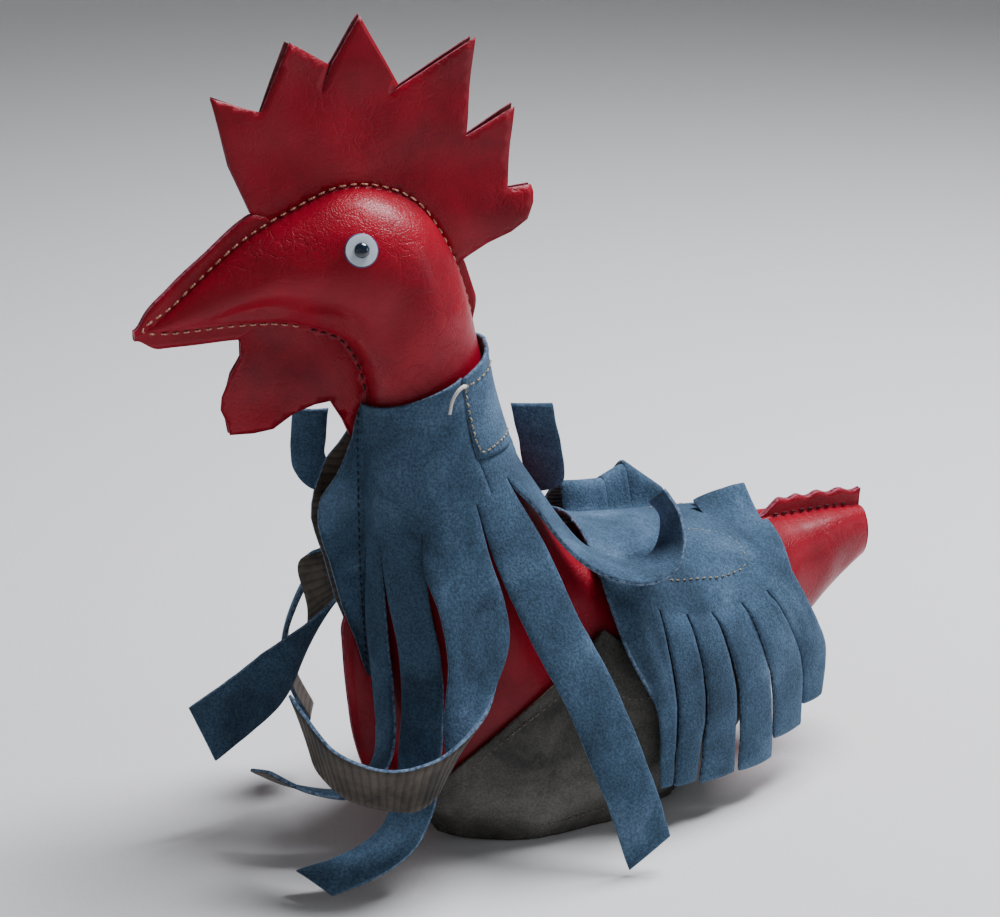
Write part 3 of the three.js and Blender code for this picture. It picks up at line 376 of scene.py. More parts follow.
def stitches(name, line, normals, pitch, length, radius, material, dip=0.45, rise=0.28, drift=0.12, seed=1):
    """One mesh of separate hand stitches lying along a line on the surface."""
    rng = random.Random(seed)
    run = lengths(line)
    sides, rings = 7, 6
    points, faces = [], []
    place_at = run[0] + pitch * 0.5
    while place_at + length < run[-1]:
        long = length * rng.uniform(0.88, 1.08)
        base = len(points)
        slip = rng.uniform(-drift, drift)
        spots = np.linspace(place_at, place_at + long, rings)
        mids = np.stack([np.interp(spots, run, line[:, k]) for k in range(3)], -1)
        ups = unit(np.stack([np.interp(spots, run, normals[:, k]) for k in range(3)], -1))
        bow = np.sin(np.linspace(0, math.pi, rings)) ** 0.6
        travel = unit(mids[-1] - mids[0])
        for ring in range(rings):
            across = unit(np.cross(travel, ups[ring]))
            lift = -dip + (dip + rise) * bow[ring]
            centre = mids[ring] + ups[ring] * lift + across * slip * (ring / rings - 0.5) * 2
            thin = radius * (0.72 + 0.28 * bow[ring])
            for k in range(sides):
                angle = 2 * math.pi * k / sides
                points.append(centre + (across * math.cos(angle) + ups[ring] * math.sin(angle)) * thin)
        for ring in range(rings - 1):
            for k in range(sides):
                n = (k + 1) % sides
                a, b = base + ring * sides, base + (ring + 1) * sides
                faces.append((a + k, a + n, b + n, b + k))
        faces.append(tuple(base + k for k in reversed(range(sides))))
        faces.append(tuple(base + (rings - 1) * sides + k for k in range(sides)))
        place_at += pitch * rng.uniform(0.96, 1.04)
    return new_piece(name, points, faces, [material])


def curl_tube(name, line, radius, material, body, sides=8):
    """A loose thread end, thinner towards its tip."""
    points, faces = [], []
    travel = unit(np.gradient(line, axis=0))
    for i, (centre, way) in enumerate(zip(line, travel)):
        side = unit(np.cross(way, [0.3, 0.2, 1.0]))
        other = np.cross(way, side)
        thin = radius * (1 - 0.35 * i / len(line))
        for k in range(sides):
            angle = 2 * math.pi * k / sides
            points.append(centre + (side * math.cos(angle) + other * math.sin(angle)) * thin)
    for i in range(len(line) - 1):
        for k in range(sides):
            n = (k + 1) % sides
            faces.append((i * sides + k, i * sides + n, (i + 1) * sides + n, (i + 1) * sides + k))
    faces.append(tuple(reversed(range(sides))))
    faces.append(tuple((len(line) - 1) * sides + k for k in range(sides)))
    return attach(new_piece(name, points, faces, [material]), body)


# ---- materials ----
# A wave texture turns 20 radians for each unit at scale 1, so this share gives one wave.
ONE_WAVE = 0.1 * math.pi


def rgb(hex_colour):
    """sRGB hex to linear."""
    value = hex_colour.lstrip("#")
    parts = [int(value[k:k + 2], 16) / 255 for k in (0, 2, 4)]
    return [p / 12.92 if p <= 0.04045 else ((p + 0.055) / 1.055) ** 2.4 for p in parts] + [1.0]


def add_node(tree, kind, inputs=None, **settings):
    """Adds a node; an input is a value or another node's output."""
    node = tree.nodes.new(kind)
    for name, value in settings.items():
        setattr(node, name, value)
    for name, value in (inputs or {}).items():
        if isinstance(value, bpy.types.NodeSocket):
            tree.links.new(value, node.inputs[name])
        else:
            node.inputs[name].default_value = value
    return node


def new_material(name, **shader):
    material = bpy.data.materials.get(name)
    if material:
        return material, None, None
    material = bpy.data.materials.new(name)
    material.use_nodes = True
    tree = material.node_tree
    tree.nodes.clear()
    output = add_node(tree, "ShaderNodeOutputMaterial")
    bsdf = add_node(tree, "ShaderNodeBsdfPrincipled", {k.replace("_", " "): v for k, v in shader.items()})
    tree.links.new(bsdf.outputs[0], output.inputs[0])
    return material, tree, bsdf


def ramp(tree, factor, stops):
    node = add_node(tree, "ShaderNodeValToRGB", {"Fac": factor})
    while len(node.color_ramp.elements) < len(stops):
        node.color_ramp.elements.new(0.5)
    for element, (place_at, colour) in zip(node.color_ramp.elements, stops):
        element.position = place_at
        element.color = rgb(colour) if isinstance(colour, str) else (colour, colour, colour, 1)
    return node.outputs[0]


def per_mm(size):
    """Texture scale that makes one cell this many millimetres."""
    return 1 / (size * MM)


def glazed_calf(name, colour, deep, coat=0.1):
    """Calf leather, pigment dyed and glazed: a clear red with a wet-looking sheen, fine creases
    where it is drawn tight over the stuffing, and a darker tone in the hollows of the grain."""
    material, tree, bsdf = new_material(
        name, Metallic=0.0, IOR=1.5, Coat_Weight=coat, Coat_Roughness=0.22, Specular_IOR_Level=0.15,
    )
    if tree is None:
        return material
    spot = add_node(tree, "ShaderNodeTexCoord").outputs["Object"]
    cloud = add_node(tree, "ShaderNodeTexNoise", {
        "Vector": spot, "Scale": per_mm(38), "Detail": 5.0, "Roughness": 0.6}).outputs["Fac"]
    base = ramp(tree, cloud, [(0.32, deep), (0.66, colour)])
    pores = add_node(
        tree, "ShaderNodeTexVoronoi", {"Vector": spot, "Scale": per_mm(1.15), "Randomness": 1.0},
        feature="DISTANCE_TO_EDGE").outputs["Distance"]
    grooves = ramp(tree, pores, [(0.0, 0.0), (0.12, 1.0)])
    bent = add_node(tree, "ShaderNodeTexNoise", {
        "Vector": spot, "Scale": per_mm(9), "Detail": 4.0, "Distortion": 0.6}).outputs["Color"]
    pushed = add_node(tree, "ShaderNodeMix", {0: 0.012, 4: spot, 5: bent}, data_type="VECTOR").outputs[1]
    creases = add_node(tree, "ShaderNodeTexVoronoi", {
        "Vector": pushed, "Scale": per_mm(6.5)}, feature="DISTANCE_TO_EDGE").outputs["Distance"]
    creased = ramp(tree, creases, [(0.0, 0.0), (0.09, 1.0)])
    where = add_node(tree, "ShaderNodeTexNoise", {
        "Vector": spot, "Scale": per_mm(30), "Detail": 2.0}).outputs["Fac"]
    patchy = ramp(tree, where, [(0.42, 0.0), (0.62, 1.0)])
    worked = add_node(tree, "ShaderNodeMix", {0: patchy, 2: 1.0, 3: creased}).outputs[0]
    height = add_node(tree, "ShaderNodeMath", {0: grooves, 1: 0.35}, operation="MULTIPLY").outputs[0]
    height = add_node(tree, "ShaderNodeMath", {0: height, 1: worked}, operation="ADD").outputs[0]
    shade = add_node(
        tree, "ShaderNodeMath", {0: grooves, 1: 0.12, 2: 0.88}, operation="MULTIPLY_ADD").outputs[0]
    tint = add_node(
        tree, "ShaderNodeMix", {0: 1.0, 6: base, 7: shade}, data_type="RGBA", blend_type="MULTIPLY")
    tree.links.new(tint.outputs[2], bsdf.inputs["Base Color"])
    rough = ramp(tree, cloud, [(0.3, 0.4), (0.7, 0.27)])
    tree.links.new(rough, bsdf.inputs["Roughness"])
    bump = add_node(tree, "ShaderNodeBump", {"Strength": 0.5, "Distance": 0.3 * MM, "Height": height})
    tree.links.new(bump.outputs[0], bsdf.inputs["Normal"])
    return material


def sueded_split(name, colour, dark, pale, nap=0.7, sheen=0.3, tint="#8FA9C4"):
    """Split hide sueded on its face: dead matt, brushed light and dark by the hand, with a short
    tangled nap that catches the light at its rim."""
    material, tree, bsdf = new_material(
        name, Metallic=0.0, Roughness=0.96, IOR=1.45, Specular_IOR_Level=0.18,
        Sheen_Weight=sheen, Sheen_Roughness=0.5,
    )
    if tree is None:
        return material
    bsdf.inputs["Sheen Tint"].default_value = rgb(tint)
    spot = add_node(tree, "ShaderNodeTexCoord").outputs["Object"]
    hand = add_node(tree, "ShaderNodeTexNoise", {
        "Vector": spot, "Scale": per_mm(34), "Detail": 4.0, "Roughness": 0.62,
        "Distortion": 0.5}).outputs["Fac"]
    brushed = ramp(tree, hand, [(0.34, dark), (0.52, colour), (0.72, pale)])
    # The tufts of the nap are about 0.5 mm across, and drawn at twice that so that they show.
    tufts = add_node(tree, "ShaderNodeTexNoise", {
        "Vector": spot, "Scale": per_mm(1.0), "Detail": 4.0, "Roughness": 0.7}).outputs["Fac"]
    flecks = ramp(tree, tufts, [(0.38, 0.5), (0.5, 0.95), (0.62, 1.45)])
    tint_node = add_node(tree, "ShaderNodeMix", {
        0: nap, 6: brushed, 7: flecks}, data_type="RGBA", blend_type="MULTIPLY")
    tree.links.new(tint_node.outputs[2], bsdf.inputs["Base Color"])
    bump = add_node(tree, "ShaderNodeBump", {"Strength": 0.9, "Distance": 0.45 * MM, "Height": tufts})
    tree.links.new(bump.outputs[0], bsdf.inputs["Normal"])
    return material


def ribbed_flesh(name, colour, dark):
    """Back of the split: undyed flesh side, grey-brown and coarse, with the faint cross ribs that
    the splitting machine's feed rollers press into it every 3 mm."""
    material, tree, bsdf = new_material(
        name, Metallic=0.0, Roughness=0.92, IOR=1.45, Specular_IOR_Level=0.2, Sheen_Weight=0.15,
    )
    if tree is None:
        return material
    coords = add_node(tree, "ShaderNodeTexCoord")
    spot, cut = coords.outputs["Object"], coords.outputs["UV"]
    ribs = add_node(tree, "ShaderNodeTexWave", {
        "Vector": cut, "Scale": per_mm(3.1) * ONE_WAVE, "Distortion": 1.2, "Detail": 2.0},
        bands_direction="Y").outputs["Fac"]
    cloud = add_node(tree, "ShaderNodeTexNoise", {
        "Vector": spot, "Scale": per_mm(12), "Detail": 5.0, "Roughness": 0.65}).outputs["Fac"]
    base = ramp(tree, cloud, [(0.34, dark), (0.68, colour)])
    lines = ramp(tree, ribs, [(0.1, 0.62), (0.5, 1.0)])
    mixed = add_node(
        tree, "ShaderNodeMix", {0: 0.8, 6: base, 7: lines}, data_type="RGBA", blend_type="MULTIPLY")
    tree.links.new(mixed.outputs[2], bsdf.inputs["Base Color"])
    fibres = add_node(tree, "ShaderNodeTexNoise", {
        "Vector": spot, "Scale": per_mm(1.2), "Detail": 4.0}).outputs["Fac"]
    height = add_node(
        tree, "ShaderNodeMath", {0: fibres, 1: 0.5, 2: ribs}, operation="MULTIPLY_ADD").outputs[0]
    bump = add_node(tree, "ShaderNodeBump", {"Strength": 0.6, "Distance": 0.4 * MM, "Height": height})
    tree.links.new(bump.outputs[0], bsdf.inputs["Normal"])
    return material


def knife_cut(name, colour, core):
    """Knife-cut leather edge: raw fibre, dye at both faces and paler hide between."""
    material, tree, bsdf = new_material(
        name, Metallic=0.0, Roughness=0.85, IOR=1.45, Specular_IOR_Level=0.25,
    )
    if tree is None:
        return material
    spot = add_node(tree, "ShaderNodeTexCoord").outputs["Object"]
    fibre = add_node(tree, "ShaderNodeTexNoise", {
        "Vector": spot, "Scale": per_mm(1.6), "Detail": 5.0, "Roughness": 0.7}).outputs["Fac"]
    base = ramp(tree, fibre, [(0.38, colour), (0.62, core)])
    tree.links.new(base, bsdf.inputs["Base Color"])
    bump = add_node(tree, "ShaderNodeBump", {"Strength": 0.5, "Distance": 0.3 * MM, "Height": fibre})
    tree.links.new(bump.outputs[0], bsdf.inputs["Normal"])
    return material


def twisted_thread(name, colour, shade):
    """Waxed linen thread, two strands twisted: a dull lustre and fine slanting lines."""
    material, tree, bsdf = new_material(
        name, Metallic=0.0, Roughness=0.62, IOR=1.5, Specular_IOR_Level=0.35, Sheen_Weight=0.1,
    )
    if tree is None:
        return material
    spot = add_node(tree, "ShaderNodeTexCoord").outputs["Object"]
    strand = add_node(tree, "ShaderNodeTexWave", {
        "Vector": spot, "Scale": per_mm(0.7) * ONE_WAVE, "Distortion": 0.5},
        bands_direction="DIAGONAL").outputs["Fac"]
    base = ramp(tree, strand, [(0.1, shade), (0.6, colour)])
    tree.links.new(base, bsdf.inputs["Base Color"])
    bump = add_node(tree, "ShaderNodeBump", {"Strength": 0.4, "Distance": 0.15 * MM, "Height": strand})
    tree.links.new(bump.outputs[0], bsdf.inputs["Normal"])
    return material


def plain_fibre(name, colour, shade, size, roughness=0.95):
    """Matt fibre goods, such as wadding, cotton or stiff sole leather, mottled at one size."""
    material, tree, bsdf = new_material(
        name, Metallic=0.0, Roughness=roughness, IOR=1.45, Specular_IOR_Level=0.2,
    )
    if tree is None:
        return material
    spot = add_node(tree, "ShaderNodeTexCoord").outputs["Object"]
    fibre = add_node(tree, "ShaderNodeTexNoise", {
        "Vector": spot, "Scale": per_mm(size), "Detail": 6.0, "Roughness": 0.7}).outputs["Fac"]
    base = ramp(tree, fibre, [(0.35, shade), (0.65, colour)])
    tree.links.new(base, bsdf.inputs["Base Color"])
    bump = add_node(tree, "ShaderNodeBump", {"Strength": 0.5, "Distance": 0.5 * MM, "Height": fibre})
    tree.links.new(bump.outputs[0], bsdf.inputs["Normal"])
    return material


def moulded_eye(name, colour, shade, roughness, coat):
    """Moulded plastic: even colour with the slightest clouding, smooth and softly glossy."""
    material, tree, bsdf = new_material(
        name, Metallic=0.0, Roughness=roughness, IOR=1.49, Coat_Weight=coat, Coat_Roughness=0.08,
    )
    if tree is None:
        return material
    spot = add_node(tree, "ShaderNodeTexCoord").outputs["Object"]
    cloud = add_node(tree, "ShaderNodeTexNoise", {
        "Vector": spot, "Scale": per_mm(5), "Detail": 3.0}).outputs["Fac"]
    base = ramp(tree, cloud, [(0.3, shade), (0.7, colour)])
    tree.links.new(base, bsdf.inputs["Base Color"])
    return material


def red_hide():
    look = bpy.context.scene.rooster_leather
    return [
        glazed_calf("glazed calf leather, red", look.red, look.red_deep),
        plain_fibre("calf leather flesh side", "#8A4A48", "#6B2C30", 2.0),
        knife_cut("knife-cut calf edge", "#6E1626", "#A8586A"),
    ]


def blue_split():
    look = bpy.context.scene.rooster_suede
    return [
        sueded_split("sueded split leather, slate blue", look.blue, look.blue_dark, look.blue_pale),
        ribbed_flesh("ribbed flesh side of the split", "#574F46", "#2E2A27"),
        knife_cut("knife-cut suede edge", "#2B3D52", "#6C8199"),
    ]


def grey_split():
    look = bpy.context.scene.rooster_suede
    return [
        sueded_split("sueded split leather, grey-brown", look.grey, "#3B3A38", "#72706B",
                     nap=0.5, sheen=0.2, tint="#A59C8E"),
        ribbed_flesh("ribbed flesh side, grey", "#575049", "#302C29"),
        knife_cut("knife-cut grey suede edge", "#3A342F", "#7A6C5C"),
    ]


def tan_thread():
    return twisted_thread("waxed linen thread, tan", "#D9A68C", "#A06B55")


def navy_thread():
    return twisted_thread("waxed linen thread, navy", "#1D2738", "#0C121C")


# Darker thread for the throat, tail and chest rows: its dark colour is partly the thread's own and partly
# painted shade, strongest on the throat row.
def wine_and_shade_thread():
    return twisted_thread("waxed linen thread, wine darkened for painted shade", "#5A1520", "#2E0A10")


def dun_thread():
    return twisted_thread("waxed linen thread, dun", "#77695A", "#4A4038")


def straw_thread():
    return twisted_thread("waxed linen thread, straw", "#A79B80", "#6F6550")


# ---- sizes and colours ----
class RoosterLeather(bpy.types.PropertyGroup):
    red: bpy.props.StringProperty(
        name="Red", description="Dye of the side panels, comb and wattle, as sRGB hex", default="#A01328")
    red_deep: bpy.props.StringProperty(
        name="Deep red", description="Darker clouds in the dye, as sRGB hex", default="#740B1B")
    pucker: bpy.props.FloatProperty(
        name="Pucker", description="How deep each stitch draws the leather in",
        default=0.55 * MM, min=0, max=2 * MM, unit="LENGTH")
    flutter: bpy.props.FloatProperty(
        name="Flutter", description="How far the comb and the flanges wave off the seam plane",
        default=1.1 * MM, min=0, max=4 * MM, unit="LENGTH")


class RoosterSuede(bpy.types.PropertyGroup):
    blue: bpy.props.StringProperty(
        name="Blue", description="Colour of the cape and the saddle, as sRGB hex", default="#41586E")
    blue_dark: bpy.props.StringProperty(
        name="Dark blue", description="Nap brushed dark, as sRGB hex", default="#314354")
    blue_pale: bpy.props.StringProperty(
        name="Pale blue", description="Nap brushed pale, as sRGB hex", default="#587089")
    grey: bpy.props.StringProperty(
        name="Grey", description="Colour of the side patches, as sRGB hex", default="#565551")
    cupping: bpy.props.FloatProperty(
        name="Cupping", description="How far a fringe strip curls across its width",
        default=0.9 * MM, min=0, max=3 * MM, unit="LENGTH")


class RoosterSewing(bpy.types.PropertyGroup):
    pitch: bpy.props.FloatProperty(
        name="Pitch", description="From one hand stitch to the next",
        default=4.2 * MM, min=2 * MM, max=8 * MM, unit="LENGTH")
    stitch: bpy.props.FloatProperty(
        name="Stitch", description="Length of thread that shows in one stitch",
        default=3.0 * MM, min=1 * MM, max=7 * MM, unit="LENGTH")
    thread: bpy.props.FloatProperty(
        name="Thread", description="Diameter of the sewing thread",
        default=0.95 * MM, min=0.3 * MM, max=2 * MM, unit="LENGTH")


class RoosterStage(bpy.types.PropertyGroup):
    azimuth: bpy.props.FloatProperty(
        name="Azimuth", description="Where the camera stands round the rooster",
        default=math.radians(66), subtype="ANGLE")
    elevation: bpy.props.FloatProperty(
        name="Elevation", description="How far the camera looks down",
        default=math.radians(20), subtype="ANGLE")
    distance: bpy.props.FloatProperty(
        name="Distance", description="From the camera to the rooster",
        default=0.9, min=0.2, max=5, unit="LENGTH")
    floor: bpy.props.StringProperty(
        name="Floor", description="Colour of the floor, as sRGB hex", default="#DFDFDE")


# ---- red side panels ----
PANEL_ROWS = 430
CREST_FROM, CREST_TO = 3.55, 8.35      # where the comb grows out of the crown seam
DEWLAP_FROM, DEWLAP_TO = 3.35, 9.6      # where the wattle grows out of the throat seam


def panel_upper_flange(u):
    """How far the raw edge stands out beyond the crown, nape and tail seams."""
    beak = lerp(0.8, 8.5, smoothstep(u, 0, 1.2)) - 5.9 * smoothstep(u, 3.1, 3.6)
    nape = lerp(2.6, 5.0, smoothstep(u, 7.9, 8.5)) - 4.4 * smoothstep(u, 9.1, 9.6)
    tail = lerp(0.6, 7.0, smoothstep(u, 24.6, 25.4))
    tail = tail + 0.8 * np.sin(u * 9.0) * smoothstep(u, 25, 26)
    flange = np.where(u < 5, beak, np.where(u < 11.5, nape, tail))
    under_comb = smoothstep(u, CREST_FROM - 0.05, CREST_FROM) * (1 - smoothstep(u, CREST_TO, CREST_TO + 0.05))
    return lerp(flange, 0.35, under_comb)


def panel_lower_flange(u):
    beak = lerp(0.8, 6.4, smoothstep(u, 0, 1.2)) - 5.8 * smoothstep(u, 3.0, 3.6)
    chest = lerp(0.6, 12.0, smoothstep(u, 13.9, 14.8)) - 11.4 * smoothstep(u, 17.1, 17.9)
    return np.where(u < 11.5, beak, chest)


def seam_rise(u):
    return unit(track(UPPER, u) - track(LOWER, u))


def flange_wave(flat, away):
    """Both layers of a flange wave together, more the farther they stand from the seam."""
    flutter = bpy.context.scene.rooster_leather.flutter / MM
    points = np.column_stack([np.zeros(len(flat)), flat])
    return ripple(points, 24, 4.0) * flutter * np.clip(away / 8, 0, 1) * 2.2


def dents(u, turn):
    """Hollows where the stuffing is slack: along the bill, behind the cheek and in the neck."""
    hollows = [
        (3.4, 0.74, 0.9, 0.12, 3.4), (5.0, 0.79, 0.75, 0.09, 3.2), (6.8, 0.66, 0.7, 0.11, 2.2),
        (2.3, 0.5, 0.6, 0.2, 0.9), (9.3, 0.5, 0.6, 0.25, 0.7), (16.2, 0.5, 1.4, 0.2, 1.2),
        (25.6, 0.45, 0.9, 0.2, 1.4), (27.1, 0.6, 0.5, 0.18, 1.2),
    ]
    total = np.zeros(np.broadcast(u, turn).shape)
    for at_u, at_turn, wide_u, wide_turn, depth in hollows:
        total += depth * np.exp(-((u - at_u) / wide_u) ** 2 - ((turn - at_turn) / wide_turn) ** 2)
    return total


def stitch_phase(line):
    pitch = bpy.context.scene.rooster_sewing.pitch / MM
    return 0.5 + 0.5 * np.cos(2 * math.pi * lengths(line) / pitch)


def build_side_panel(side):
    look = bpy.context.scene.rooster_leather
    u = np.linspace(0, LAST, PANEL_ROWS)
    turns = np.concatenate([
        np.linspace(0.004, 0.07, 8), np.linspace(0.07, 0.93, 50)[1:-1], np.linspace(0.93, 0.996, 8)])
    uu, tt = np.meshgrid(u, turns, indexing="ij")
    skin = body_points(uu, tt)
    normal = body_normals(uu, tt)
    upper = np.column_stack([np.zeros(len(u)), track(UPPER, u)])
    lower = np.column_stack([np.zeros(len(u)), track(LOWER, u)])
    lower[:, 2] = np.maximum(lower[:, 2], FLOOR)
    from_top = np.cumsum(np.linalg.norm(np.diff(skin, axis=1, prepend=skin[:, :1]), axis=-1), axis=1)
    from_bottom = from_top[:, -1:] - from_top
    pucker = look.pucker / MM
    draw = stitch_phase(upper)[:, None] * np.exp(-(from_top / 2.6) ** 2)
    draw += stitch_phase(lower)[:, None] * np.exp(-(from_bottom / 2.6) ** 2) * (uu < 17.5)
    lumps = ripple(skin.reshape(-1, 3), 21, 2.0).reshape(uu.shape) * 0.7
    lumps += ripple(skin.reshape(-1, 3), 8, 5.0).reshape(uu.shape) * 0.16
    calm = smoothstep(from_top, 1, 9) * smoothstep(from_bottom, 1, 9)
    room = np.minimum(track(HALF, uu)[..., 0] / 8, 1)
    fall = dents(uu, tt) * calm + draw * pucker - lumps * calm
    skin = skin - normal * (fall * room)[..., None]
    skin[..., 2] = np.maximum(skin[..., 2], FLOOR)
    skin[..., 0] = np.maximum(skin[..., 0], SEAM_GAP / 2 + LEATHER)
    rise = np.column_stack([np.zeros(len(u)), seam_rise(u)])
    near, far = SEAM_GAP / 2, SEAM_GAP / 2 + LEATHER
    columns, kinds = [], []

    def flange(line, way, reach, order):
        steps = [(0.0, near), (1.0, near), (1.0, far), (0.66, far), (0.33, far), (0.0, far)]
        faces = [1, 2, 0, 0, 0]
        result = []
        for share, x in steps:
            point = line + way * (reach * share)[:, None]
            point[:, 0] = x
            wave = flange_wave(point[:, 1:], reach * share)
            point[:, 0] += wave * side
            result.append(point)
        if order < 0:
            result, faces = result[::-1], faces[::-1]
        return result, faces

    top, top_kinds = flange(upper, rise, panel_upper_flange(u), 1)
    bottom, bottom_kinds = flange(lower, -rise, panel_lower_flange(u) * (lower[:, 2] > FLOOR), -1)
    columns += top
    kinds += top_kinds + [0]
    columns += [skin[:, k] for k in range(skin.shape[1])]
    kinds += [0] * (skin.shape[1] - 1) + [0]
    columns += bottom
    kinds += bottom_kinds
    points = np.stack(columns, 1)
    if side < 0:
        points = mirror(points)
    rows, count = points.shape[:2]
    faces = grid_faces(rows, count, flip=side > 0)
    marks = [kinds[j] for _ in range(rows - 1) for j in range(count - 1)]
    # The tail end and the beak tip are closed by folding the last ring flat.
    for row in (0, rows - 1):
        ring = [row * count + j for j in range(count)]
        faces.append(tuple(ring if (row == 0) == (side > 0) else ring[::-1]))
        marks.append(0)
    name = "left" if side > 0 else "right"
    piece = new_piece(f"side_panel_{name}", points.reshape(-1, 3), faces, red_hide(), marks)
    return place(piece, "body", (f"head_panel_{name}", f"body_panel_{name}"), "red_leather")


def seam_line(points, u_from, u_to, steps, lift, sign):
    u = np.linspace(u_from, u_to, steps + 1)
    line = track(points, u) + seam_rise(u) * (lift * sign)
    return [tuple(p) for p in line]


def comb_outline(layer):
    """Five-pointed comb with two knife slits between its points; the layers differ a little."""
    shift = 0.5 * layer
    blade = [
        (-115.3, 277.4), (-121 - shift, 303), (-103, 296 + shift), (-92 + shift, 321), (-76.6, 312),
        (-80, 300.7), (-75.6, 311.6), (-64, 329 - 0.6 * (layer > 0)), (-49.6, 302.4), (-53.8, 298.5),
        (-48.8, 301.8), (-20 + shift, 318), (-23, 281), (-3, 291 - shift), (-4.5, 277.4), (-6, 259.4),
        (3.6, 260.2), (4.3, 257.5), (4, 253.5), (1.5, 247), (-5, 242.5), (-14, 239),
    ]
    crown = seam_line(UPPER, CREST_TO, CREST_FROM, 26, 0.35, 1)
    return [(-108, 259.5)] + blade + crown


def wattle_outline(layer):
    shift = 0.8 * layer
    lobe = [
        (-118.5, 200), (-121.6 - shift, 191), (-122.2 - shift, 186), (-120.6, 180), (-120, 176),
        (-111, 175.4), (-103, 176), (-94, 181), (-86, 183.2), (-79.5, 183.6), (-74.5, 175), (-72, 168.5),
        (-66.8, 176),
    ]
    throat = seam_line(LOWER, DEWLAP_TO, DEWLAP_FROM, 30, 0.35, -1)
    return [(-117.5, 214.6), (-114.2, 211.5), (-114.5, 206)] + lobe + throat


def leaf_bulge(seam, side, splay):
    """A leaf waves with its partner and splays a little from it towards its free edge."""
    seam = np.array(seam)

    def bulge(flat):
        reach = np.linalg.norm(flat[:, None] - seam[None], axis=-1).min(1)
        return flange_wave(flat, np.minimum(reach, 14)) + splay * side * smoothstep(reach, 4, 45)
    return bulge


# ---- operators: red leather ----
class BuildSidePanels(bpy.types.Operator):
    """Red leather skins from beak to tail, drawn in by their stitches, with the raw seam edges"""
    bl_idname = "rooster.side_panels"
    bl_label = "Side panels"

    def execute(self, context):
        for side in (1, -1):
            build_side_panel(side)
        return {"FINISHED"}


class BuildComb(bpy.types.Operator):
    """Comb: two cut leaves of the same leather that stand on the crown seam"""
    bl_idname = "rooster.comb"
    bl_label = "Comb"

    def execute(self, context):
        for side, name in ((1, "left"), (-1, "right")):
            bulge = leaf_bulge(seam_line(UPPER, 8.5, 3.5, 90, 0, 1), side, 0.7)
            piece = leaf_piece(
                f"comb_{name}", comb_outline(side), SEAM_GAP / 2 * side, (SEAM_GAP / 2 + LEATHER) * side,
                bulge, red_hide())
            finish_piece((f"comb_root_{name}", f"comb_blade_{name}"))
            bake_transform(piece)
        return {"FINISHED"}


class BuildWattle(bpy.types.Operator):
    """Wattle: two cut leaves that hang from the throat seam"""
    bl_idname = "rooster.wattle"
    bl_label = "Wattle"

    def execute(self, context):
        for side, name in ((1, "left"), (-1, "right")):
            bulge = leaf_bulge(seam_line(LOWER, 10, 3, 90, 0, 1), side, 0.6)
            piece = leaf_piece(
                f"wattle_{name}", wattle_outline(side), SEAM_GAP / 2 * side,
                (SEAM_GAP / 2 + LEATHER) * side, bulge, red_hide(), spacing=1.8)
            finish_piece((f"wattle_root_{name}", f"wattle_leaf_{name}"))
            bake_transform(piece)
        return {"FINISHED"}


EYE_STATION, EYE_TURN = 5.25, 0.40
EYE_STANDOFF = 1.4


class BuildEyes(bpy.types.Operator):
    """Eyes: a white disc with a dark rim line and a domed navy bead pinned through it"""
    bl_idname = "rooster.eyes"
    bl_label = "Eyes"

    def execute(self, context):
        seat = offset_points(EYE_STATION, EYE_TURN, 0.0)
        axis = unit(offset_points(EYE_STATION, EYE_TURN, 1.0) - seat)
        white = moulded_eye("moulded acetal, white", "#DCE6EE", "#C9D6E2", 0.35, 0.2)
        rim = moulded_eye("painted rim line, violet blue", "#3C4A78", "#2A3358", 0.45, 0.1)
        bead = moulded_eye("moulded acrylic bead, navy", "#16263C", "#0B1524", 0.12, 0.8)
        for side, name in ((1, "left"), (-1, "right")):
            at = seat if side > 0 else mirror(seat)
            way = axis if side > 0 else mirror(axis)
            disc = [(1.0, 0.2), (6.05, 0.1), (6.27, 0.35), (6.3, 0.7), (6.15, 1.0), (5.85, 1.17), (5.6, 1.2),
                    (3.2, 1.22), (1.0, 1.22)]
            disc = [(r, h + EYE_STANDOFF - 0.1) for r, h in disc]
            kinds = [0, 1, 1, 1, 1, 0, 0, 0]
            piece = lathe_piece(f"eye_white_{name}", at, way, disc, 64, [white, rim], kinds)
            place(piece, "body", (f"eye_disc_{name}",), "eye_white")
            top = EYE_STANDOFF + 1.3
            dome = [(0.85, -6.0 + top), (0.85, -0.1 + top), (2.6, -0.05 + top), (2.86, 0.25 + top)]
            rise = np.linspace(0.05, 1.56, 12)
            dome += [(2.9 * math.cos(a), 0.45 + 1.95 * math.sin(a) + top) for a in rise]
            piece = lathe_piece(f"eye_bead_{name}", at, way, dome, 40, [bead])
            place(piece, "body", (f"eye_pin_{name}",), "eye_bead")
        return {"FINISHED"}


# ---- suede cape ----
FLAP_FOOT = 11.75                       # the collar flap ends here over the cape


def cape_foot(turn):
    return 12.1 + 1.25 * np.asarray(turn, float) ** 1.6


def both_sides(left):
    """A left half of a grid joined to its own mirrored half across the middle."""
    return np.concatenate([mirror(left[:, ::-1]), left], axis=1)


def sheet_piece(name, middle, normals, thickness, materials, wander=0.0, seed=1.0, joined=""):
    """A suede sheet; wander roughens its knife-cut rim a little."""
    if wander:
        middle = middle.copy()
        rim = np.zeros(middle.shape[:2], bool)
        rim[0], rim[-1], rim[:, 0], rim[:, -1] = True, True, True, True
        middle[rim] += ripple(middle[rim], 5, seed)[:, None] * normals[rim] * wander
    points, faces, kinds, uv = thick_sheet(middle, normals, thickness, joined)
    piece = new_piece(name, points, faces, materials, kinds, uv=uv)
    keep_square(piece, joined_rim(*middle.shape[:2], joined))
    return piece


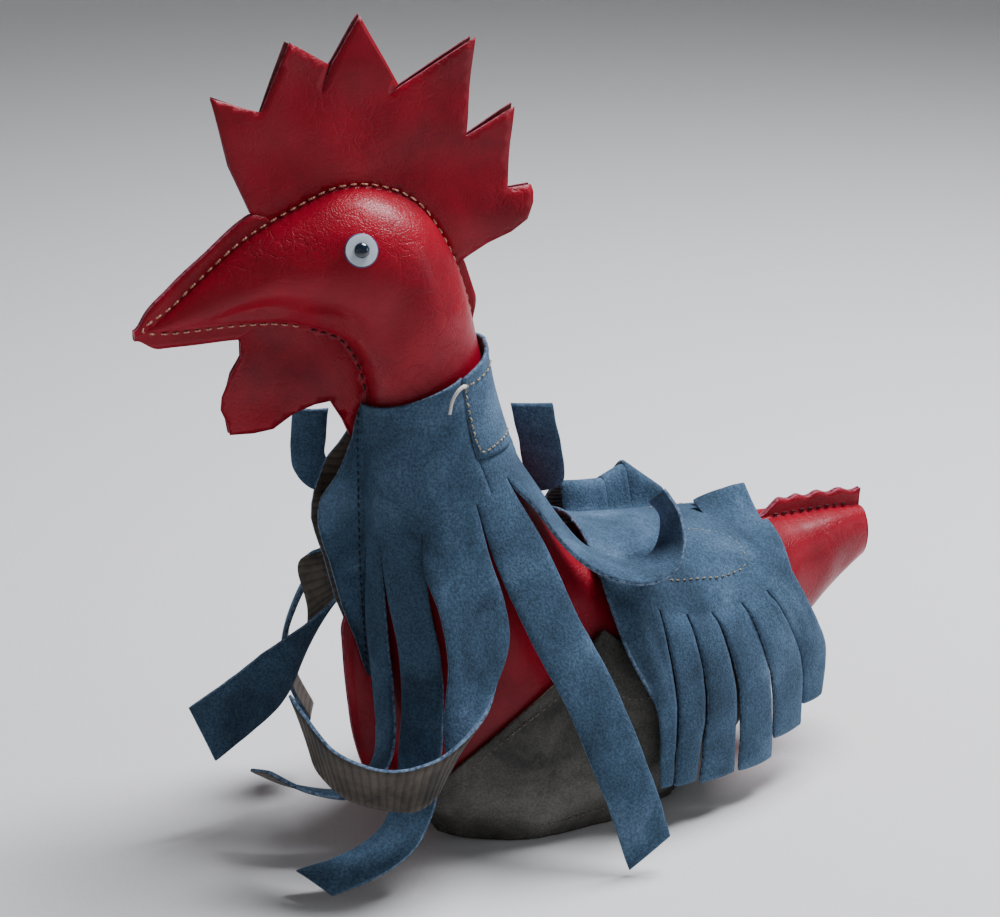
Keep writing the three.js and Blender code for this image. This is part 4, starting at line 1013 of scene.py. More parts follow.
def joined_rim(rows, columns, joined):
    """Both layers' points along the edges that carry on into another piece."""
    order = np.arange(rows * columns).reshape(rows, columns)
    rims = {"t": order[0], "b": order[-1], "l": order[:, 0], "r": order[:, -1]}
    return {int(k) + layer for edge in joined for k in rims[edge] for layer in (0, rows * columns)}


def keep_square(piece, rim):
    """Stops the light from rounding an edge that another piece butts against."""
    for edge in piece.data.edges:
        if edge.vertices[0] in rim and edge.vertices[1] in rim:
            edge.use_edge_sharp = True


def soft_folds(middle, normals, size, depth, seed):
    shape = middle.shape
    push = ripple(middle.reshape(-1, 3), size, seed).reshape(shape[:2]) * depth
    return middle + normals * push[..., None]


def build_cape_front(side):
    turns = edge_columns(90, 26) * (0.985 - 0.405) + 0.405
    t = np.linspace(0, 1, 46)[:, None]
    rows = lerp(COLLAR_TOP, cape_foot(turns)[None, :], t)
    grid_turns = np.broadcast_to(turns, rows.shape)
    # It lies lower where the collar flap covers it and stands off a little at the collar's rim.
    under = 1 - smoothstep(grid_turns, 0.405, 0.44)
    under = under * (1 - smoothstep(rows, FLAP_FOOT - 0.1, FLAP_FOOT + 0.35))
    lift = CAPE_LIFT - 0.9 * under + 0.5 * (1 - smoothstep(t, 0, 0.12))
    middle = body_points(rows, grid_turns)
    normals = body_normals(rows, grid_turns)
    middle = middle + normals * (lift + SUEDE / 2)[..., None]
    fade = (smoothstep(t, 0.02, 0.3) * (1 - smoothstep(t, 0.75, 1)))[..., None]
    middle = lerp(middle, soft_folds(middle, normals, 26, 1.3, 7.0), fade)
    if side < 0:
        middle, normals = mirror(middle), mirror(normals)
    name = "left" if side > 0 else "right"
    piece = sheet_piece(f"cape_front_{name}_suede", middle, normals, SUEDE, blue_split(), joined="b")
    # Cut 45 mm wide, and up to 78 mm down from the collar to where the strips begin.
    return place(piece, "body", (f"cape_front_{name}",), "blue_suede")


def over_ridge(lift, turns):
    """Extra lift that carries a sheet over the sewn edge along the middle of the back."""
    return lift + 1.0 * (1 - smoothstep(turns, 0.0, 0.06))


def build_cape_back():
    """The cape's own back, from just under the flap's edge down to the strips."""
    turns = np.concatenate([np.linspace(0.008, 0.09, 6), np.linspace(0.09, 0.412, 16)[1:]])
    t = np.linspace(0, 1, 22)[:, None]
    rows = lerp(11.1, cape_foot(turns)[None, :], t)
    grid_turns = np.broadcast_to(turns, rows.shape)
    under = 1 - smoothstep(rows, FLAP_FOOT - 0.15, FLAP_FOOT + 0.3)
    lift = over_ridge(CAPE_LIFT - 0.9 * under, grid_turns) + SUEDE / 2
    normals = body_normals(rows, grid_turns)
    middle = body_points(rows, grid_turns) + normals * lift[..., None]
    piece = sheet_piece(
        "cape_back_suede", both_sides(middle), both_sides(normals), SUEDE, blue_split(), joined="b")
    return place(piece, "body", (), "blue_suede")


def flap_grid():
    """Collar flap: laps over the cape from its stitched edge on one side to the other."""
    turns = np.concatenate([np.linspace(0.008, 0.09, 6), np.linspace(0.09, 0.412, 20)[1:]])
    t = np.linspace(0, 1, 34)[:, None]
    corner = 0.25 * smoothstep(turns, 0.3, 0.412)
    foot = (FLAP_FOOT + 0.1 * np.sin(turns * 9) - 0.0 * corner)[None, :]
    rows = lerp(COLLAR_TOP, foot, t)
    grid_turns = np.broadcast_to(turns, rows.shape)
    lift = over_ridge(CAPE_LIFT + 0.35, grid_turns)
    lift = lift + 0.6 * (1 - smoothstep(t, 0, 0.12)) + SUEDE / 2
    normals = body_normals(rows, grid_turns)
    return body_points(rows, grid_turns) + normals * lift[..., None], normals


def build_collar_flap():
    middle, normals = flap_grid()
    piece = sheet_piece(
        "collar_flap_suede", both_sides(middle), both_sides(normals), SUEDE, blue_split(),
        wander=0.25, seed=3.0)
    return place(piece, "body", ("cape_back",), "blue_suede")


CAPE_FLANGE = [
    (-68, 181.5), (-70.5, 175), (-72, 169), (-75.5, 163), (-79, 158), (-83, 151), (-85.8, 146), (-87, 141),
    (-87.3, 135), (-86, 129), (-84.6, 124), (-83, 119), (-78.5, 99.5), (-73, 84), (-70.6, 75), (-68.5, 68),
    (-66.2, 65.6), (-66.0, 120), (-66.0, 180),
]


def build_cape_flange(side):
    name = "left" if side > 0 else "right"
    near = SEAM_GAP / 2 + LEATHER + 0.4

    def bulge(flat):
        """The leaf bows off the seam plane; its upper corner folds outwards."""
        reach = np.clip(-66 - flat[:, 0], 0, 30)
        open_out = 1.2 * smoothstep(reach, 2, 18) + ripple(
            np.column_stack([np.zeros(len(flat)), flat]), 22, 9.0) * 1.1 * smoothstep(reach, 0, 8)
        fold = smoothstep(reach, 4, 15) * smoothstep(flat[:, 1], 143, 160) * 4.0
        return (open_out + fold) * side
    piece = leaf_piece(
        f"cape_flange_{name}_suede", CAPE_FLANGE, near * side, (near + SUEDE) * side, bulge,
        blue_split(), spacing=2.0)
    return place(piece, "body", (f"cape_flange_{name}",), "blue_suede")


# ---- fringe ----
# Each strip's side, turns at its root, width, and its middle line: x, y, z and the direction
# across it from front edge to back edge. They follow the solids they stand for.
NECK_STRIPS = [
    ("neck_strip_1", 1, (0.965, 0.885), 12.5, [
        (13, -67.5, 94, 0.95, 0.3, 0), (18, -68, 71, 0.95, 0.3, 0), (23, -68.5, 54, 0.95, 0.25, 0.1),
        (27, -73, 40, 0.95, 0.1, 0.2), (27, -84, 30.5, 0.97, 0, 0.2), (21, -100, 31, 0.95, 0.2, 0.2),
        (10, -117, 38, 0.9, 0.3, 0.3)]),
    ("neck_strip_2", 1, (0.875, 0.705), 18, [
        (26.5, -59, 107, 0.75, 0.66, 0), (32.5, -57.5, 88, 0.75, 0.66, 0),
        (37.5, -58.5, 70, 0.75, 0.66, 0), (41, -61, 52, 0.75, 0.66, 0), (48, -66, 34, 0.8, 0.6, 0),
        (53, -76, 21, 0.85, 0.5, -0.1), (53, -92, 12.5, 0.8, 0.5, -0.2), (50, -109, 7.5, 0.75, 0.5, -0.3)]),
    ("neck_strip_3", 1, (0.695, 0.485), 26, [
        (35, -42, 122, 0.2, 0.97, 0.1), (42, -39, 107, 0.1, 0.98, 0.1), (48.5, -39, 91, 0, 0.97, 0.2),
        (52.5, -44, 73, -0.05, 0.88, 0.45), (60, -52, 57, 0.05, 0.55, 0.83),
        (64, -67, 47.5, 0.35, 0.1, 0.93), (60, -83, 47, 0.45, -0.15, 0.88), (51, -97, 52, 0.25, -0.25, 0.93),
        (40, -104, 60, -0.1, -0.2, 0.97), (33, -106, 66, -0.35, -0.2, 0.9)]),
    ("neck_strip_4", 1, (0.475, 0.305), 21, [
        (38, -17, 124, 0, 0.96, 0.25), (53, -9, 97, 0, 0.93, 0.35), (65, 0, 74, 0, 0.92, 0.38),
        (73, 7.5, 50, 0.05, 0.9, 0.42), (80, 13.5, 28.5, 0.08, 0.85, 0.5), (84, 18, 8.8, 0.11, 0.79, 0.6)]),
    ("neck_strip_5", 1, (0.295, 0.12), 18, [
        (25, -4, 140, -0.87, 0.49, 0), (31, 3, 128.5, -0.88, 0.46, 0), (37, 11, 119, -0.9, 0.42, 0),
        (42.5, 21, 113.5, -0.94, 0.33, 0.1), (46, 32, 111.5, -0.95, 0.15, 0.15),
        (45, 42, 114, -0.98, -0.05, 0.1), (40, 48, 120, -0.97, -0.08, 0),
        (34, 49.5, 128, -0.9, 0, -0.3), (29, 46, 135, -0.81, 0.07, -0.58)]),
    ("neck_strip_6", -1, (0.965, 0.80), 26, [
        (21, -77, 110, -0.75, 0.5, 0.3), (19, -77, 93, -0.65, 0.35, 0.6), (22, -85, 74, -0.4, 0.1, 0.9),
        (25, -98, 60, -0.1, -0.25, 0.95), (24, -114, 50, 0, -0.35, 0.93), (20, -131, 43, 0.1, -0.35, 0.93)]),
    ("neck_strip_7", -1, (0.79, 0.65), 16, [
        (33, -64, 118, 0.8, 0.6, 0), (40, -75, 99, 0.85, 0.5, 0), (47, -83, 78, 0.9, 0.4, 0),
        (51, -86, 58, 0.9, 0.4, 0), (49, -83, 43, 0.9, 0.4, 0), (44, -77, 31, 0.9, 0.4, 0)]),
    ("neck_strip_8", -1, (0.64, 0.49), 14, [
        (37, -49, 134, 0.3, 0.95, 0), (41, -58, 132, 0.2, 0.95, 0.2), (43, -68, 135, 0, 0.85, 0.4),
        (41, -75, 144, -0.3, 0.85, 0.3), (37, -76.5, 156, -0.4, 0.9, 0), (34, -76, 169, -0.4, 0.9, 0)]),
    ("neck_strip_9", -1, (0.475, 0.305), 18, [
        (38, -17, 124, 0, 0.96, 0.25), (50, -10, 98, 0, 0.95, 0.3), (59, -3, 73, 0, 0.95, 0.3),
        (64, 3, 48, 0, 0.95, 0.3), (66, 7, 24, 0, 0.95, 0.3)]),
    ("neck_strip_10", -1, (0.295, 0.12), 17, [
        (26, -2, 142, -0.8, 0.6, 0), (28, 6, 132, -0.65, 0.75, 0), (22, 13, 126, -0.5, 0.86, 0),
        (14, 16, 131, -0.42, 0.9, 0), (12, 15, 143, -0.4, 0.91, 0), (13.5, 13.5, 154, -0.4, 0.91, 0),
        (16, 12, 165, -0.4, 0.91, 0)]),
]


def relax_strip(grid, normals, shares, seed):
    """Cups the strip across its width, lets it flutter and takes its cut edges off straight."""
    cupping = bpy.context.scene.rooster_suede.cupping / MM
    along = np.linspace(0, 1, len(grid))[:, None]
    shape = (shares * 2 - 1) ** 2 - 0.35
    grow = smoothstep(along, 0.08, 0.5)
    swell = ripple(grid[:, :1].reshape(-1, 3), 30, seed)[:, None] * 1.2 + 0.7
    push = -cupping * shape[None, :] * grow * swell
    spine = grid[:, grid.shape[1] // 2]
    push = push + ripple(spine, 17, seed + 3)[:, None] * 0.5 * grow
    across = unit(grid[:, -1] - grid[:, 0])
    edge = ripple(grid[:, 0], 7, seed + 5)[:, None] * 0.35 * grow
    other = ripple(grid[:, -1], 7, seed + 8)[:, None] * 0.35 * grow
    grid = grid + normals * push[..., None]
    reach = smoothstep(np.abs(shares * 2 - 1), 0.5, 1)[None, :]
    slip = np.where(shares[None, :] < 0.5, edge, other) * reach
    return grid + across[:, None, :] * slip[..., None]


def finish_strip(name, grid, normals):
    piece = sheet_piece(name + "_suede", grid, normals, SUEDE, blue_split(), joined="t")
    finish_piece((name,))
    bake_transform(piece)
    return piece


def build_neck_strip(name, side, turns, width, stations, seed):
    shares = edge_columns(width, 9)
    spread = 0.0035
    root_turns = lerp(turns[0] + spread, turns[1] - spread, shares)
    lift = np.full(len(shares), CAPE_LIFT)
    lift = lift + 1.0 * (1 - smoothstep(root_turns, 0.0, 0.06)) + SUEDE / 2
    root = offset_points(cape_foot(root_turns), root_turns, lift)
    above = offset_points(cape_foot(root_turns) - 0.75, root_turns, lift)
    chord = lerp(root[:1], root[-1:], shares[:, None])
    bow = root - chord
    lines = []
    for j, share in enumerate(shares):
        line = [above[j], root[j]]
        for k, (x, y, z, ax, ay, az) in enumerate(stations):
            half = unit(np.array([ax, ay, az], float)) * width / 2
            point = np.array([x, y, z], float) + half * (share * 2 - 1)
            if k == 0:
                point = point + bow[j] * 0.5
            line.append(point)
        lines.append(np.array(line))
    # The first stretch lies in the cape, so the strip's own surface starts one place in.
    lines = np.array(lines)
    samples = np.linspace(1 / (lines.shape[1] - 1), 1, 420)
    dense = np.stack([spline(line, samples) for line in lines], 1)
    run = lengths(dense[:, len(shares) // 2])
    places = np.linspace(0, run[-1], int(run[-1] / 1.6))
    grid = np.stack([
        np.stack([np.interp(places, run, dense[:, j, k]) for k in range(3)], -1)
        for j in range(len(shares))], 1)
    normals = unit(np.cross(unit(np.gradient(grid, axis=0)), unit(np.gradient(grid, axis=1))))
    root_normals = body_normals(cape_foot(root_turns), root_turns)
    blend = smoothstep(np.linspace(0, run[-1], len(grid)), 0, 12)[:, None, None]
    flip = (normals[0] * root_normals).sum() < 0
    facing = -normals if flip else normals
    normals = unit(lerp(np.broadcast_to(root_normals, grid.shape), facing, blend))
    grid = relax_strip(grid, normals, shares, seed)
    if side < 0:
        grid, normals = mirror(grid), mirror(normals)
    return finish_strip(name, grid, normals)


# ---- saddle ----
SADDLE_FRONT, SADDLE_BACK = 18, 108
TAB_FRONT, TAB_HALF_WIDTH = 84, 13
RAISED_FROM, RAISED_TO, RAISED_ROOT = 30.4, 78.4, 23


def saddle_edge(y):
    return lerp(0.245, 0.3, (np.asarray(y, float) - SADDLE_FRONT) / (SADDLE_BACK - SADDLE_FRONT))


def section_at(y, turn):
    """The section that crosses a given place along the body at that turn."""
    y, turn = np.broadcast_arrays(np.asarray(y, float), np.asarray(turn, float))
    low, high = np.full(y.shape, 12.0), np.full(y.shape, float(LAST))
    for _ in range(24):
        middle = (low + high) / 2
        before = body_points(middle, turn)[..., 1] < y
        low, high = np.where(before, middle, low), np.where(before, high, middle)
    return (low + high) / 2


def saddle_points(y, turn, offset):
    return offset_points(section_at(y, turn), turn, offset)


def saddle_normals(y, turn):
    return body_normals(section_at(y, turn), turn)


def build_saddle():
    """Saddle sheet over the back, open where strips lift off and where the tab is cut."""
    y = np.linspace(SADDLE_FRONT, SADDLE_BACK, 76)[:, None]
    turns = np.concatenate([np.linspace(0.006, 0.05, 5), np.linspace(0.05, 1, 22)[1:]])
    share = np.broadcast_to(turns, (76, len(turns)))
    edge = saddle_edge(y) + 0.004
    grid_turns = np.where(share < 0.05, share, share * edge)
    grid_turns = np.maximum.accumulate(grid_turns, axis=1)
    lift = SADDLE_LIFT + SUEDE / 2 + 0.3 * (1 - smoothstep(grid_turns, 0, 0.03))
    left = saddle_points(y, grid_turns, lift)
    normals = saddle_normals(y, grid_turns)
    middle, normals = both_sides(left), both_sides(normals)
    inward = np.concatenate([turns[::-1], turns])
    held_flat = smoothstep(inward, 0.6, 0.97)[None, :, None]
    middle = lerp(soft_folds(middle, normals, 25, 0.8, 11.0), middle, held_flat)
    points, faces, kinds, uv = thick_sheet(middle, normals, SUEDE, joined="lr")
    total = len(points) // 2

    def kept(face):
        spot = points[[k % total for k in face]].mean(0)
        tab = abs(spot[0]) < TAB_HALF_WIDTH and spot[1] > TAB_FRONT
        lifted = spot[0] < -RAISED_ROOT and RAISED_FROM - 0.2 < spot[1] < RAISED_TO + 0.2
        return not (tab or lifted)
    keep = [k for k, face in enumerate(faces) if kept(face)]
    piece = new_piece("saddle_suede", points, [faces[k] for k in keep], blue_split(),
                      [kinds[k] for k in keep], uv=uv)
    clean_loose(piece, joined_rim(*middle.shape[:2], "lr"))
    return place(piece, "body", ("saddle",), "blue_suede")


def clean_loose(piece, rim):
    """Drops points no face uses and closes the cut edges between the two faces of the sheet."""
    mesh = piece.data
    used = {v for polygon in mesh.polygons for v in polygon.vertices}
    order = {v: k for k, v in enumerate(sorted(used))}
    half = len(mesh.vertices) // 2
    points = [mesh.vertices[v].co / MM for v in sorted(used)]
    faces = [tuple(order[v] for v in polygon.vertices) for polygon in mesh.polygons]
    kinds = [polygon.material_index for polygon in mesh.polygons]
    seen = {}
    for polygon in mesh.polygons:
        corners = list(polygon.vertices)
        for a, b in zip(corners, corners[1:] + corners[:1]):
            seen[(a, b)] = seen.get((a, b), 0) + 1
    for a, b in list(seen):
        if (b, a) not in seen and a < half and b < half:
            if all(v + half in order for v in (a, b)):
                faces.append((order[b], order[a], order[a + half], order[b + half]))
                kinds.append(2)
                rim |= {a, b, a + half, b + half}
    flat = {}
    layer = mesh.uv_layers[0].data
    for polygon in mesh.polygons:
        for loop in polygon.loop_indices:
            flat[order[mesh.loops[loop].vertex_index]] = layer[loop].uv[:]
    materials = list(mesh.materials)
    rebuilt = new_piece(piece.name + "_cut", points, faces, materials, kinds,
                        uv=np.array([flat[k] for k in range(len(points))]) / MM)
    keep_square(rebuilt, {order[k] for k in rim if k in order})
    old = piece.data
    piece.data = rebuilt.data
    bpy.data.objects.remove(rebuilt)
    bpy.data.meshes.remove(old)


SADDLE_STRIPS = [
    ("saddle_strip_1", 1, (18.5, 34, 36.5), (40.3, 43, 42), 20, 0),
    ("saddle_strip_2", 1, (41.7, 44.5, 43.5), (52.3, 57, 54), 19, 0),
    ("saddle_strip_3", 1, (53.7, 58.5, 56), (63.8, 72.5, 73.5), 17, 0),
    ("saddle_strip_4", 1, (65.2, 75, 77), (78.8, 91.3, 95.5), 16, 0),
    ("saddle_strip_5", 1, (80.2, 92.6, 96.6), (92.3, 111, 113.6), 24, 0),
    ("saddle_strip_6", 1, (93.7, 112, 114.6), (108, 128, 126.6), 33, 0),
    ("saddle_strip_7", -1, (18.7, 20, 21), (29.7, 31, 33), 24, 0),
    ("saddle_strip_8", -1, (31, 32, 35), (51, 52, 53), 21, (12, 12)),
    ("saddle_strip_9", -1, (51.4, 54, 55), (62.2, 66, 68), 18, (12.5, 17)),
    ("saddle_strip_10", -1, (62.6, 68, 71), (77.8, 84, 87), 19, (18.5, 7)),
    ("saddle_strip_11", -1, (79.3, 88, 92), (92.3, 103, 107), 25, 0),
    ("saddle_strip_12", -1, (93.3, 108, 112), (108, 124, 124), 38, 0),
]


def hang_point(y, z, lift):
    """Where a strip hangs at a height: beyond the widest part of the body above it."""
    turns = np.arange(0.05, 0.9, 0.03)
    points = body_points(section_at(np.full(turns.shape, y), turns), turns)
    below = np.nonzero(points[:, 2] < z)[0]
    last = below[0] if len(below) else len(turns) - 1
    return np.array([points[:last + 1, 0].max() + SADDLE_LIFT + lift, y, z])


def turn_at_width(y, x, offset):
    turns = np.arange(0.02, 0.4, 0.002)
    points = saddle_points(np.full(turns.shape, y), turns, np.full(turns.shape, offset))
    return turns[np.argmax(points[:, 0] >= x)]


def saddle_strip_line(root_y, middle_y, end_y, foot, raised):
    """One line down a saddle strip, starting a little way inside the saddle itself."""
    offset = SADDLE_LIFT + SUEDE / 2
    if raised:
        root_turn = turn_at_width(root_y, RAISED_ROOT + 0.2, offset)
    else:
        root_turn = float(saddle_edge(root_y)) + 0.004
    root = saddle_points(root_y, root_turn, offset)
    above = saddle_points(root_y, root_turn - 0.05, offset)
    shoulder = hang_point(root_y * 0.7 + middle_y * 0.3, 82, STRIP_LIFT * 0.3 + raised + SUEDE / 2)
    points = [above, root, shoulder, hang_point(middle_y, 56, STRIP_LIFT + raised * 0.5 + SUEDE / 2),
              hang_point(end_y, foot, STRIP_LIFT + SUEDE / 2)]
    if raised:
        points.insert(2, root + np.array([raised * 0.55, 0, raised]))
    return np.array(points)


def build_saddle_strip(name, side, front, back, foot, raised, seed):
    slack = 0.42
    front = (front[0] - slack * (name != "saddle_strip_1"), front[1], front[2])
    back = (back[0] + slack, back[1], back[2])
    width = np.mean([back[k] - front[k] for k in range(3)])
    shares = edge_columns(max(width, 8), 8)
    lines = np.array([
        saddle_strip_line(*(lerp(front[k], back[k], share) for k in range(3)), foot,
                          lerp(*raised, share) if raised else 0)
        for share in shares])
    samples = np.linspace(1 / (lines.shape[1] - 1), 1, 420)
    dense = np.stack([spline(line, samples) for line in lines], 1)
    run = lengths(dense[:, len(shares) // 2])
    places = np.linspace(0, run[-1], int(run[-1] / 1.6))
    grid = np.stack([
        np.stack([np.interp(places, run, dense[:, j, k]) for k in range(3)], -1)
        for j in range(len(shares))], 1)
    normals = unit(np.cross(unit(np.gradient(grid, axis=0)), unit(np.gradient(grid, axis=1))))
    if normals[0].mean(0)[[0, 2]].sum() < 0:
        normals = -normals
    grid = relax_strip(grid, normals, shares, seed)
    if side < 0:
        grid, normals = mirror(grid), mirror(normals)
    return finish_strip(name, grid, normals)


TAB_NEAR = [(12, 80.5, 110.6), (12, 85.8, 109.2), (12, 95, 108), (12, 106.5, 107)]
TAB_FAR = [(-6, 79, 112.5), (-6, 83.4, 115.5), (-5.5, 94, 118.5), (-5, 106, 120)]


def build_tab():
    """Rear strip of the saddle: lies over the root of the tail with its far edge up."""
    shares = edge_columns(20, 9)
    near, far = (spline(line, np.linspace(0.27, 1, 24)) for line in (TAB_NEAR, TAB_FAR))
    grid = near[:, None] + (far - near)[:, None] * shares[None, :, None]
    sag = np.sin(shares * math.pi)[None, :, None] * np.array([0, 0, -1.6])
    grid = grid + sag
    normals = unit(np.cross(unit(np.gradient(grid, axis=0)), unit(np.gradient(grid, axis=1))))
    if normals[..., 2].mean() < 0:
        normals = -normals
    grid = relax_strip(grid, normals, shares, 31.0)
    return finish_strip("saddle_tab", grid, normals)


# ---- side patches ----
PATCH_FRONT, PATCH_BACK, PATCH_TOP, PATCH_LOW = 17.05, 23.4, 0.35, 0.9
PATCH_DROP, PATCH_HEM = 3.6, 0.8


def patch_bottom(u):
    turns = np.arange(PATCH_TOP, PATCH_LOW + 0.01, 0.01)
    uu, tt = np.meshgrid(u, turns, indexing="ij")
    high = offset_points(uu, tt, np.full(uu.shape, SUEDE))[..., 2] > FLOOR + 1
    return np.minimum(PATCH_TOP + 0.01 * high.cumprod(1).sum(1), PATCH_LOW)


def build_patch(side):
    down = edge_columns(70, 40)[:, None]
    front = PATCH_FRONT + 0.75 * down ** 3
    u = front + (PATCH_BACK - front) * edge_columns(95, 60)[None, :]
    bottom = patch_bottom(u.ravel()).reshape(u.shape)
    turns = lerp(PATCH_TOP, bottom, down)
    normals = body_normals(u, turns)
    middle = offset_points(u, turns, np.full(u.shape, PATCH_LIFT + SUEDE / 2))
    middle = soft_folds(middle, normals, 24, 0.8, 13.0)
    hem = middle[-1:].copy()
    hem[..., 2] = np.maximum(hem[..., 2] - PATCH_DROP, PATCH_HEM)
    half_hem = lerp(middle[-1:], hem, 0.5)
    middle = np.concatenate([middle, half_hem, hem])
    normals = np.concatenate([normals, normals[-1:], normals[-1:]])
    if side < 0:
        middle, normals = mirror(middle), mirror(normals)
    name = "left" if side > 0 else "right"
    piece = sheet_piece(
        f"side_patch_{name}_suede", middle, normals, SUEDE, grey_split(), wander=0.3, seed=21.0)
    return place(piece, "body", (f"side_patch_{name}",), "grey_suede")


# ---- operators: suede ----
class BuildSidePatches(bpy.types.Operator):
    """Grey-brown suede patches over the lower sides, down past the sole's edge"""
    bl_idname = "rooster.side_patches"
    bl_label = "Side patches"

    def execute(self, context):
        for side in (1, -1):
            build_patch(side)
        return {"FINISHED"}


class BuildCape(bpy.types.Operator):
    """Neck cape: two front pieces, its back, the lapped collar flap and the front seam edges"""
    bl_idname = "rooster.cape"
    bl_label = "Neck cape"

    def execute(self, context):
        for side in (1, -1):
            build_cape_front(side)
            build_cape_flange(side)
        build_cape_back()
        build_collar_flap()
        return {"FINISHED"}


class BuildNeckFringe(bpy.types.Operator):
    """Ten strips cut up from the foot of the cape, each with its own curl"""
    bl_idname = "rooster.neck_fringe"
    bl_label = "Neck fringe"

    def execute(self, context):
        for number, (name, side, turns, width, stations) in enumerate(NECK_STRIPS):
            build_neck_strip(name, side, turns, width, stations, 40.0 + number * 3.7)
        return {"FINISHED"}


class BuildSaddle(bpy.types.Operator):
    """Saddle sheet over the back, and the tab over the root of the tail"""
    bl_idname = "rooster.saddle"
    bl_label = "Saddle"

    def execute(self, context):
        build_saddle()
        build_tab()
        return {"FINISHED"}


class BuildSaddleFringe(bpy.types.Operator):
    """Twelve strips that hang from the saddle's long edges; three on the far side arch up"""
    bl_idname = "rooster.saddle_fringe"
    bl_label = "Saddle fringe"

    def execute(self, context):
        for number, (name, side, front, back, foot, raised) in enumerate(SADDLE_STRIPS):
            build_saddle_strip(name, side, front, back, foot, raised, 80.0 + number * 2.9)
        return {"FINISHED"}


# ---- sewing ----
def seam_path(points, u_from, u_to, lift, side):
    """A line on the flange's outer face beside a seam, and its normals."""
    u = np.linspace(u_from, u_to, 240)
    line = track(points, u) + seam_rise(u) * lift
    wave = flange_wave(line, np.full(len(u), abs(lift)))
    x = SEAM_GAP / 2 + LEATHER + wave * side
    path = np.column_stack([x, line])
    normals = np.tile([1.0, 0, 0], (len(u), 1))
    return path, normals


def sew(name, path, normals, side, thread, node=(), pitch=1.0, length=1.0, size=1.0, seed=1, slot="thread"):
    sewing = bpy.context.scene.rooster_sewing
    if side < 0:
        path, normals = mirror(path), mirror(normals)
    piece = stitches(
        name, path, normals, sewing.pitch / MM * pitch, sewing.stitch / MM * length,
        sewing.thread / MM / 2 * size, thread, seed=seed)
    return place(piece, "body", node, slot)


def on_body(stations, lift):
    """Evenly spaced points over the body through (u, turn) stations."""
    stations = np.array([(u, turn, 0) for u, turn in stations], float)
    dense = spline(stations, np.linspace(0, 1, 500))
    path = offset_points(dense[:, 0], dense[:, 1], np.full(500, lift))
    return path, body_normals(dense[:, 0], dense[:, 1])


PATCH_STITCH = [
    (22, 0.43), (20.5, 0.43), (18.6, 0.435), (17.7, 0.445), (17.35, 0.515), (17.3, 0.6), (17.35, 0.66),
    (17.45, 0.72), (17.7, 0.76), (18.1, 0.75), (18.5, 0.735), (19, 0.715), (19.75, 0.69), (20.4, 0.68),
    (21.2, 0.69), (22, 0.7),
]
SADDLE_STITCH = [
    (64, 0.05), (76, 0.065), (84, 0.1), (87.5, 0.15), (86, 0.195), (76, 0.205), (62, 0.195), (46, 0.195),
]
FLAP_STITCH = [(10.05, 0.408), (10.5, 0.404), (11.0, 0.4), (11.45, 0.396), (11.62, 0.37), (11.62, 0.28),
               (11.64, 0.18), (11.66, 0.08)]
FLAP_TOP_STITCH = [(10.12, 0.40), (10.18, 0.3), (10.2, 0.2), (10.2, 0.08)]


